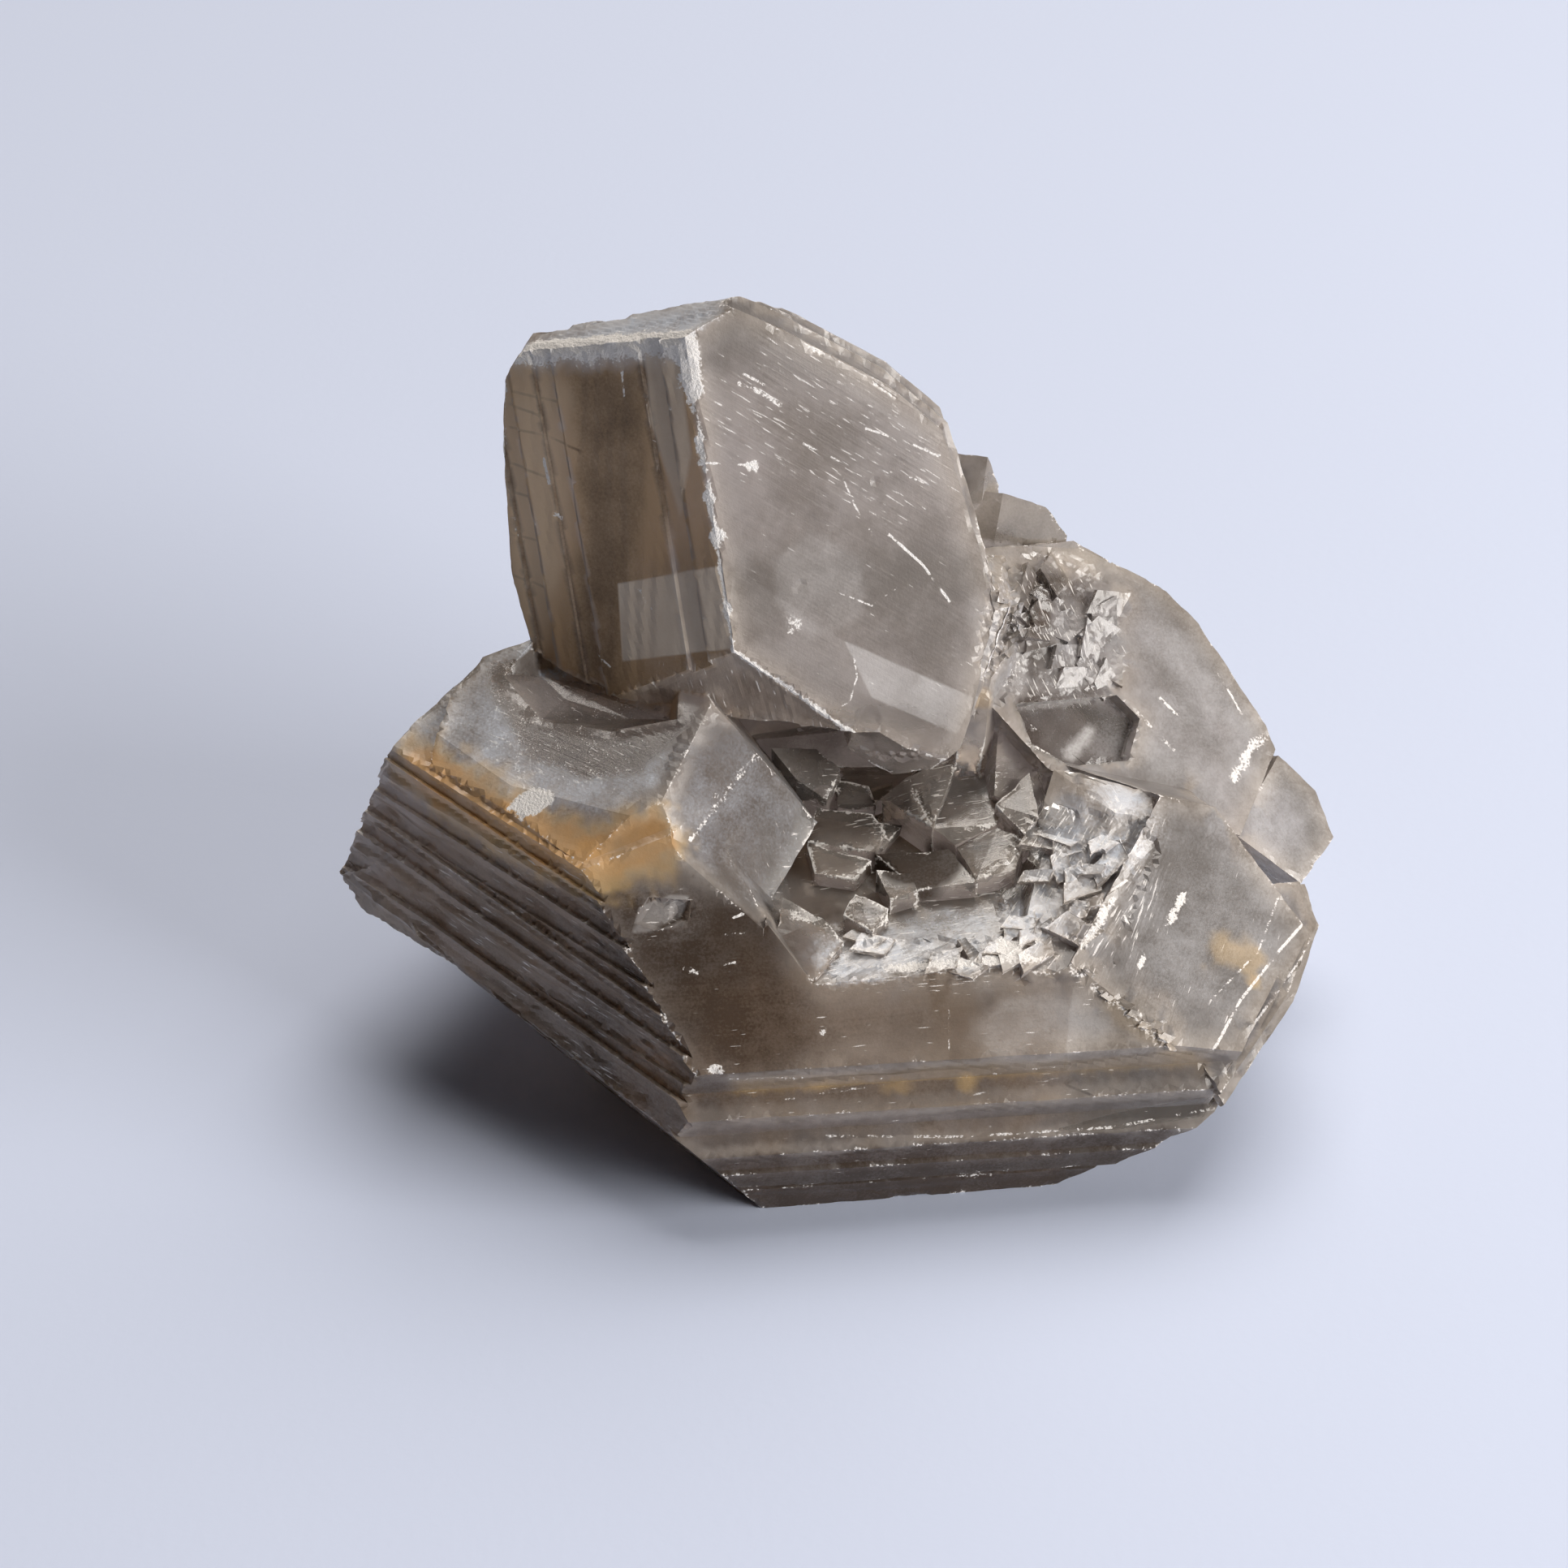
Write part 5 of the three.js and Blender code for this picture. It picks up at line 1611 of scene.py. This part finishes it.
@dataclass
class CrystalCluster:
    """The intergrown gypsum crystals as one closed skin with its relief and tones. Lengths are in mm.

    Attributes:
        origin: Where the solid's middle floor point lies in the places that the tables use.
        flatness: Faces closer in direction than this count as one flat face.
        crisp: An edge that turns by more than this is crisp.
        guide_step: How far apart points are set along a crisp patch's line.
        guide_room: How clear of those points the even ones stay.
        guide_depth: How far off a flat face a line may run and still be followed.
        guide_slant: How much a line may point out of a face and still be followed.
        guide_edge: How far inside a face's outline a line's points stay.
        weld: How close points of the solid have to be to count as one.
        same_spot: How close flat points have to be to count as one.
        row_share: The distance between rows of points, as a share of the distance along them.
        edge_share: How far inside an outline the even points stay, as a share of that distance.
        chip_reach: How far chips reach in from an edge.
        chip_depth: How deep a chip is.
        edge_calm: How far in from a crisp edge the relief grows to its full depth.
        swell: The size of the slow swell that all faces share.
        rim_reach: How far in from a convex edge the painted glow and the stain reach.
        painted_rim_glow: How pale the painted glow of light scattered out near an edge is.
        rim_rust: How stained the edge is.
        worn_reach: How far in from an edge its white worn band reaches.
        worn_mm: The size of the gaps in that band.
        worn_edge: Where in the noise a gap begins and ends.
        worn_frost: How white the worn band is.
        worn_break: How much whiter it is on broken areas.
        chip_mm: How far apart chips are.
        chip_edge: Where in the noise a chip begins and reaches its full depth.
        grain_shift: What keeps one face's grain pattern apart from the next one's.
        finish: The mineral.
    """

    origin: Vec3 = (1.3, 2.0923, 0.0)
    flatness: float = math.radians(0.6)
    crisp: float = math.radians(13)
    guide_step: float = 0.32
    guide_room: float = 0.30
    guide_depth: float = 1.3
    guide_slant: float = 0.5
    guide_edge: float = 0.12
    weld: float = 0.002
    same_spot: float = 1e-7
    row_share: float = 0.866
    edge_share: float = 0.42
    chip_reach: float = 0.9
    chip_depth: float = 0.22
    edge_calm: float = 1.2
    swell: float = 11.0
    rim_reach: float = 4.0
    painted_rim_glow: float = 0.3
    rim_rust: float = 0.16
    worn_reach: float = 0.5
    worn_mm: float = 2.1
    worn_edge: tuple[float, float] = (0.35, 0.65)
    worn_frost: float = 0.45
    worn_break: float = 0.25
    chip_mm: float = 2.2
    chip_edge: tuple[float, float] = (0.40, 0.72)
    grain_shift: float = 37.0
    finish: SmokyGypsum = field(default_factory=SmokyGypsum)

    def build(self) -> bpy.types.Object:
        """Cut the solid's skin finely, work its relief and store its tones.

        Returns:
            The finished piece, in place of the solid.
        """
        skin = self.cut_skin(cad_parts[NODE])
        LOG.info("skin has %d triangles", len(skin.triangles))
        flat = skin.point_normals()
        edge, convex = self.edge_gap(skin)
        tones = self.lay_tones(skin, flat, edge, convex)
        worked = self.carve(skin, flat, edge, convex, tones)
        return self.to_object(skin, worked, tones)

    def owners(self, centres: np.ndarray, normals: np.ndarray) -> np.ndarray:
        """Find which face or broken area each flat patch belongs to.

        Args:
            centres: The middles of the patches.
            normals: The directions they face.

        Returns:
            Numbers in the table of faces.
        """
        return np.argmin([face.misfit(centres, normals) for face in FACES], axis=0)

    def cut_skin(self, node: bpy.types.Object) -> FineMesh:
        """Split every flat face of the solid into even triangles.

        Args:
            node: The solid as packed, which is only read.

        Returns:
            The finely cut skin.
        """
        bm = bmesh.new()
        bm.from_mesh(node.data)
        bmesh.ops.scale(bm, vec=(1 / MM,) * 3, verts=bm.verts)
        bmesh.ops.translate(bm, vec=self.origin, verts=bm.verts)
        bmesh.ops.remove_doubles(bm, verts=bm.verts, dist=self.weld)
        bmesh.ops.dissolve_limit(bm, angle_limit=self.flatness, verts=bm.verts, edges=bm.edges)
        pitches = np.array([face.cut.value for face in FACES])
        edges = [(e, f) for e in bm.edges for f in e.link_faces]
        middles = np.array([(e.verts[0].co + e.verts[1].co) / 2 for e, _ in edges])
        step_of = pitches[self.owners(middles, np.array([f.normal for _, f in edges]))]
        finest: dict[bmesh.types.BMEdge, float] = {}
        for (e, _), step in zip(edges, step_of):
            finest[e] = min(finest.get(e, float(step)), float(step))
        cuts: dict[int, list[bmesh.types.BMEdge]] = {}
        for e, step in finest.items():
            count = math.ceil(e.calc_length() / step) - 1
            if count > 0:
                cuts.setdefault(count, []).append(e)
        for count, group in cuts.items():
            bmesh.ops.bisect_edges(bm, edges=group, cuts=count)
        bm.verts.index_update()
        points = [np.array(v.co) for v in bm.verts]
        triangles: list[list[int]] = []
        facing: list[np.ndarray] = []
        guides = self.guide_lines()
        for f in bm.faces:
            ring = [loop.vert.index for loop in f.loops]
            made = self.fill(ring, points, np.array(f.normal), guides)
            triangles += made
            facing += [np.array(f.normal)] * len(made)
        bm.free()
        unowned = np.zeros(len(triangles), int)
        skin = FineMesh(np.array(points), np.array(triangles), np.array(facing), unowned).without_folds()
        skin.owner = self.owners(skin.centres(), skin.facing)
        return skin

    def guide_lines(self) -> list[Guide]:
        """Lay spots along every line that a crisp patch asks for.

        Returns:
            Every straight piece of line.
        """
        laid = []
        for patch in PATCHES:
            chain, sides = patch.guides()
            for a, b in zip(chain[:-1], chain[1:]):
                count = max(2, math.ceil(float(np.linalg.norm(b - a)) / self.guide_step))
                spots = a + np.linspace(0.0, 1.0, count)[:, None] * (b - a)
                laid.append(Guide(spots, unit(b - a), sides))
        return laid

    def fill(
        self, ring: list[int], points: list[np.ndarray], normal: np.ndarray, guides: list[Guide]
    ) -> list[list[int]]:
        """Fill one flat outline with even triangles, with points beside the guides that cross it.

        Args:
            ring: The outline's points by number.
            points: Every point so far; the new inner ones are added to it.
            normal: The direction that the outline faces.
            guides: The lines to follow.

        Returns:
            Triangles of point numbers.
        """
        sheet = Sheet.through(np.array([points[k] for k in ring]), normal)
        inner = np.zeros((0, 2))
        if min(sheet.high - sheet.low) > Cut.FINE.value:
            beside = self.guides_on(sheet, guides)
            inner = np.concatenate([beside, self.even_spots(sheet, beside)])
        flat = [Vector(p) for p in sheet.corners] + [Vector(p) for p in inner]
        spots, _, faces, origins, _, _ = geometry.delaunay_2d_cdt(
            flat, [], [list(range(len(ring)))], 1, self.same_spot
        )
        number = []
        for spot, source in zip(spots, origins):
            old = min(source, default=len(ring))
            if old < len(ring):
                number.append(ring[old])
            else:
                points.append(sheet.middle + sheet.axes[:, 0] * spot[0] + sheet.axes[:, 1] * spot[1])
                number.append(len(points) - 1)
        return [[number[k] for k in face] for face in faces]

    def even_spots(self, sheet: Sheet, beside: np.ndarray) -> np.ndarray:
        """Lay even rows of points inside one flat outline, as close as its faces' cuts ask for.

        Args:
            sheet: The outline.
            beside: Flat points that are there already, which the rows keep clear of.

        Returns:
            Flat points.
        """
        room = kdtree.KDTree(len(beside))
        for k, spot in enumerate(beside):
            room.insert((spot[0], spot[1], 0.0), k)
        room.balance()
        laid = [np.zeros((0, 2))]
        for cut in Cut:
            pitch = cut.value
            rows = np.arange(sheet.low[1], sheet.high[1], pitch * self.row_share)
            columns = np.arange(sheet.low[0], sheet.high[0], pitch)
            if not len(rows) or not len(columns):
                continue
            spread = np.stack(np.meshgrid(columns, rows), -1)
            spread[1::2, :, 0] += pitch / 2
            spread = spread.reshape(-1, 2)
            place = sheet.middle + spread @ sheet.axes.T
            own = self.owners(place, np.tile(sheet.normal, (len(place), 1)))
            spread = spread[np.array([FACES[k].cut is cut for k in own], bool)]
            if len(spread):
                spread = spread[inside_depth(spread, sheet.corners) > self.edge_share * pitch]
            if len(beside) and len(spread):
                clear = [room.find((spot[0], spot[1], 0.0))[2] > self.guide_room for spot in spread]
                spread = spread[np.array(clear, bool)]
            laid.append(spread)
        return np.concatenate(laid)

    def guides_on(self, sheet: Sheet, guides: list[Guide]) -> np.ndarray:
        """Pick the guide points that fall inside one flat outline.

        Args:
            sheet: The outline.
            guides: The lines to follow.

        Returns:
            Flat points.
        """
        found = [np.zeros((0, 2))]
        for guide in guides:
            close = np.abs((guide.spots - sheet.middle) @ sheet.normal) < self.guide_depth
            if not close.any() or abs(guide.way @ sheet.normal) > self.guide_slant:
                continue
            flat = (guide.spots[close] - sheet.middle) @ sheet.axes
            way = unit(guide.way @ sheet.axes)
            for side in guide.sides:
                found.append(flat + side * np.array([-way[1], way[0]]))
        every = np.concatenate(found)
        if not len(every):
            return every
        every = every[((every > sheet.low) & (every < sheet.high)).all(1)]
        return every[inside_depth(every, sheet.corners) > self.guide_edge] if len(every) else every

    def edge_gap(self, skin: FineMesh) -> tuple[np.ndarray, np.ndarray]:
        """Measure how far each point is from a crisp edge, and whether that edge juts out.

        Args:
            skin: The finely cut skin.

        Returns:
            The distance in mm, and 1 for a convex edge or 0 for a hollow one.
        """
        tri = skin.triangles
        pairs = np.concatenate([tri[:, [0, 1]], tri[:, [1, 2]], tri[:, [2, 0]]])
        owner = np.tile(np.arange(len(tri)), 3)
        key = np.sort(pairs, 1)
        order = np.lexsort((key[:, 1], key[:, 0]))
        key, owner = key[order], owner[order]
        same = (key[:-1] == key[1:]).all(1)
        first, second, ends = owner[:-1][same], owner[1:][same], key[:-1][same]
        turn = (skin.facing[first] * skin.facing[second]).sum(1)
        crisp = turn < math.cos(self.crisp)
        first, second, ends = first[crisp], second[crisp], ends[crisp]
        centres = skin.centres()
        out = ((centres[second] - centres[first]) * skin.facing[first]).sum(1) < 0
        on_edge = np.unique(ends)
        juts = np.zeros(len(skin.points))
        np.maximum.at(juts, ends[:, 0], out.astype(float))
        np.maximum.at(juts, ends[:, 1], out.astype(float))
        tree = kdtree.KDTree(len(on_edge))
        for k in on_edge:
            tree.insert(skin.points[k], int(k))
        tree.balance()
        gap, convex = np.zeros(len(skin.points)), np.zeros(len(skin.points))
        for k, point in enumerate(skin.points):
            _, who, away = tree.find(point)
            gap[k], convex[k] = away, juts[who]
        return gap, convex

    def lay_tones(
        self, skin: FineMesh, normals: np.ndarray, edge: np.ndarray, convex: np.ndarray
    ) -> dict[Tone, np.ndarray]:
        """Work out how much of each tone every point has.

        Args:
            skin: The finely cut skin.
            normals: The direction that each point faces.
            edge: Distances to the nearest crisp edge.
            convex: 1 where that edge juts out.

        Returns:
            For each tone, one number a point.
        """
        points = skin.points
        tones = {tone: np.zeros(len(points)) for tone in Tone}
        for patch in PATCHES:
            layer = tones[patch.tone]
            share = patch.cover(points, normals)
            fuller = layer + share * (1.0 - np.minimum(layer, 1.0))
            tones[patch.tone] = np.where(share < 0.0, layer * (1.0 + share), fuller)
        wear_and_glow = skin.to_points([face.wear_and_glow for face in FACES])
        broken = skin.to_points([float(face.habit is Habit.SHARDED) for face in FACES])
        # Painted glow: convex edges are made paler, for light that scatters out of the crystal near them; the
        # rust along them is a stain.
        rim = ease(self.rim_reach, 0.0, edge) * convex * (1.0 - np.clip(tones[Tone.UMBER], 0.0, 1.0))
        tones[Tone.PALE] = np.maximum(tones[Tone.PALE], self.painted_rim_glow * wear_and_glow * rim)
        tones[Tone.IRON] = np.maximum(tones[Tone.IRON], self.rim_rust * wear_and_glow * rim * rim)
        gaps = ease(*self.worn_edge, Noise.layered(points / self.worn_mm, Seed.WORN))
        worn = ease(self.worn_reach, 0.0, edge) * convex * gaps
        white = wear_and_glow * (self.worn_frost + self.worn_break * broken) * worn
        tones[Tone.FROST] = np.maximum(tones[Tone.FROST], white)
        return tones

    def carve(
        self,
        skin: FineMesh,
        normals: np.ndarray,
        edge: np.ndarray,
        convex: np.ndarray,
        tones: dict[Tone, np.ndarray],
    ) -> np.ndarray:
        """Press the relief of each habit and the chips of the edges into the skin.

        Args:
            skin: The finely cut skin.
            normals: The direction that each point faces.
            edge: Distances to the nearest crisp edge.
            convex: 1 where that edge juts out.
            tones: What each point has of each tone.

        Returns:
            The moved points.
        """
        points = skin.points
        owner = skin.to_points(range(len(FACES)))
        depth = np.zeros(len(points))
        inside = ease(0.0, self.edge_calm, edge)
        slow = Noise.layered(points / self.swell, Seed.SWELL)
        for number, face in enumerate(FACES):
            mine = owner == number
            if not mine.any():
                continue
            here, grain = points[mine], unit(face.grain)
            across = unit(np.cross(face.normal or normals[mine].mean(0), grain))
            plot = Plot(face, number, here, here @ grain, here @ across, inside[mine], slow[mine])
            depth[mine] = plot.depth()
        chance = Noise.layered(points / self.chip_mm, Seed.CHIPS)
        crumble = skin.to_points([face.crumble for face in FACES])
        worn = crumble * ease(self.chip_reach * np.sqrt(crumble), 0.0, edge) * convex
        bruise = np.clip(tones[Tone.FROST], 0.0, 1.0)
        chipped = ease(*self.chip_edge, chance + 0.12 * bruise)
        depth += self.chip_depth * worn * (0.4 + 0.9 * bruise) * chipped
        moved = points - normals * depth[:, None]
        low, high = (np.asarray(corner) / MM + self.origin for corner in CAD_BOX)
        return np.clip(moved, low, high)

    def to_object(
        self, skin: FineMesh, worked: np.ndarray, tones: dict[Tone, np.ndarray]
    ) -> bpy.types.Object:
        """Make the piece, with its crisp edges and its stored tones.

        Args:
            skin: The finely cut skin before its relief.
            worked: Its points after the relief.
            tones: What each point has of each tone.

        Returns:
            The piece.
        """
        mesh = bpy.data.meshes.new("gypsum_crystal_skin")
        mesh.from_pydata(((worked - self.origin) * MM).tolist(), [], skin.triangles.tolist())
        mesh.update()
        loop_edge = np.zeros(len(mesh.polygons) * 3, int)
        mesh.loops.foreach_get("edge_index", loop_edge)
        order = np.argsort(loop_edge, kind="stable")
        pairs = (order // 3).reshape(-1, 2)
        turn = (skin.facing[pairs[:, 0]] * skin.facing[pairs[:, 1]]).sum(1)
        sharp = mesh.attributes.new("sharp_edge", "BOOLEAN", "EDGE")
        sharp.data.foreach_set("value", turn < math.cos(self.crisp))
        faceted = np.array([face.habit is Habit.SUGARY or face.name == "lean break" for face in FACES])
        crumpled = mesh.attributes.new("sharp_face", "BOOLEAN", "FACE")
        crumpled.data.foreach_set("value", faceted[skin.owner])
        for tone, amount in tones.items():
            layer = mesh.attributes.new(tone.value, "FLOAT", "POINT")
            layer.data.foreach_set("value", np.clip(amount, 0.0, 1.0).astype(np.float32))
        broken = skin.to_points([float(face.habit in (Habit.SHARDED, Habit.SUGARY)) for face in FACES])
        layer = mesh.attributes.new("broken", "FLOAT", "POINT")
        layer.data.foreach_set("value", broken.astype(np.float32))
        sketch = mesh.attributes.new("sketch", "FLOAT_VECTOR", "POINT")
        sketch.data.foreach_set("vector", worked.astype(np.float32).ravel())
        grain = mesh.attributes.new("grain", "FLOAT_VECTOR", "CORNER")
        grain.data.foreach_set("vector", self.along_grain(skin, worked).astype(np.float32).ravel())
        piece = bpy.data.objects.new("gypsum_crystal_skin", mesh)
        bpy.context.scene.collection.objects.link(piece)
        return piece

    def along_grain(self, skin: FineMesh, worked: np.ndarray) -> np.ndarray:
        """Give each triangle's corners their places along and across the grain, in mm.

        Args:
            skin: The finely cut skin.
            worked: Its points after the relief.

        Returns:
            For each triangle's three corners: the run along the grain, across it and out of the face.
        """
        grains = np.array([unit(face.grain) for face in FACES])[skin.owner]
        along = grains - skin.facing * (grains * skin.facing).sum(1)[:, None]
        along /= np.maximum(np.linalg.norm(along, axis=1), 1e-6)[:, None]
        across = np.cross(skin.facing, along)
        frame_of = np.stack([along, across, skin.facing], 1)
        local = np.einsum("fck,fak->fca", worked[skin.triangles], frame_of)
        local[:, :, 2] += self.grain_shift * skin.owner[:, None]
        return local

    def dress(self, piece: bpy.types.Object) -> None:
        """Give the piece its mineral and tie it to the solid it stands for."""
        piece.data.materials.append(self.finish.make())
        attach(piece, "root")
        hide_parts(NODE)


@dataclass
class Studio:
    """Pale floor, soft lights and the camera, in metres."""

    floor_half: float = 1.6
    eye: Vec3 = (-0.0063, -0.25267, 0.22678)
    pitch: float = math.radians(52)
    lens: float = 72.22
    key_place: Vec3 = (0.22, 0.72, 1.42)
    key_side: float = 1.25
    key_watts: float = 24.0
    key_colour: str = "fff9f2"
    side_place: Vec3 = (0.70, -0.30, 0.28)
    side_side: float = 0.5
    side_watts: float = 8.0
    side_colour: str = "fffbf6"
    aim: Vec3 = (0.0, 0.0, 0.035)
    sky: str = "c6cde0"
    sky_strength: float = 0.01
    card: MattCard = field(default_factory=MattCard)

    def build(self) -> None:
        """Set up the floor, the lights and the camera."""
        half = self.floor_half
        mesh = bpy.data.meshes.new("pale_floor")
        rim = [(-half, -half, 0), (half, -half, 0), (half, half, 0), (-half, half, 0)]
        mesh.from_pydata(rim, [], [(0, 1, 2, 3)])
        mesh.materials.append(self.card.make())
        floor = bpy.data.objects.new("pale_floor", mesh)
        bpy.context.scene.collection.objects.link(floor)
        self.add_light("key_softbox", self.key_place, self.key_side, self.key_watts, self.key_colour)
        self.add_light("side_softbox", self.side_place, self.side_side, self.side_watts, self.side_colour)
        world = bpy.data.worlds.new("soft_studio")
        world.use_nodes = True
        world.node_tree.nodes.clear()
        tree = world.node_tree
        glow = add_node(tree, "Background", {"Color": linear(self.sky), "Strength": self.sky_strength})
        add_node(tree, "OutputWorld", {"Surface": glow})
        bpy.context.scene.world = world
        bpy.context.scene.view_settings.view_transform = "Standard"
        data = bpy.data.cameras.new("camera")
        data.lens = self.lens
        data.sensor_width = 36.0
        data.clip_start = 0.01
        camera = bpy.data.objects.new("camera", data)
        camera.location = self.eye
        camera.rotation_euler = (self.pitch, 0.0, 0.0)
        bpy.context.scene.collection.objects.link(camera)
        bpy.context.scene.camera = camera

    def add_light(self, name: str, place: Vec3, side: float, watts: float, colour: str) -> None:
        """Hang one square softbox that looks at the object.

        Args:
            name: Its name.
            place: Where it hangs, in metres.
            side: The length of its side.
            watts: Its power.
            colour: Its sRGB hex colour.
        """
        data = bpy.data.lights.new(name, "AREA")
        data.shape = "SQUARE"
        data.size = side
        data.energy = watts
        data.color = linear(colour)[:3]
        light = bpy.data.objects.new(name, data)
        light.location = place
        light.rotation_euler = (Vector(self.aim) - Vector(place)).to_track_quat("-Z", "Y").to_euler()
        bpy.context.scene.collection.objects.link(light)


def corners(box: Iterable[Sequence[float]]) -> list[list[float]]:
    """Turn a box's two corners into plain lists."""
    return [[float(c) for c in corner] for corner in box]


def main() -> None:
    """Build the stage and the cluster."""
    logging.basicConfig(level=logging.INFO, format="%(name)s: %(message)s")
    Studio().build()
    LOG.info("stage, lights and camera are set")
    cluster = CrystalCluster()
    piece = cluster.build()
    cluster.dress(piece)
    LOG.info("%s has %d triangles", piece.name, len(piece.data.polygons))


if __name__ == "__main__":
    main()
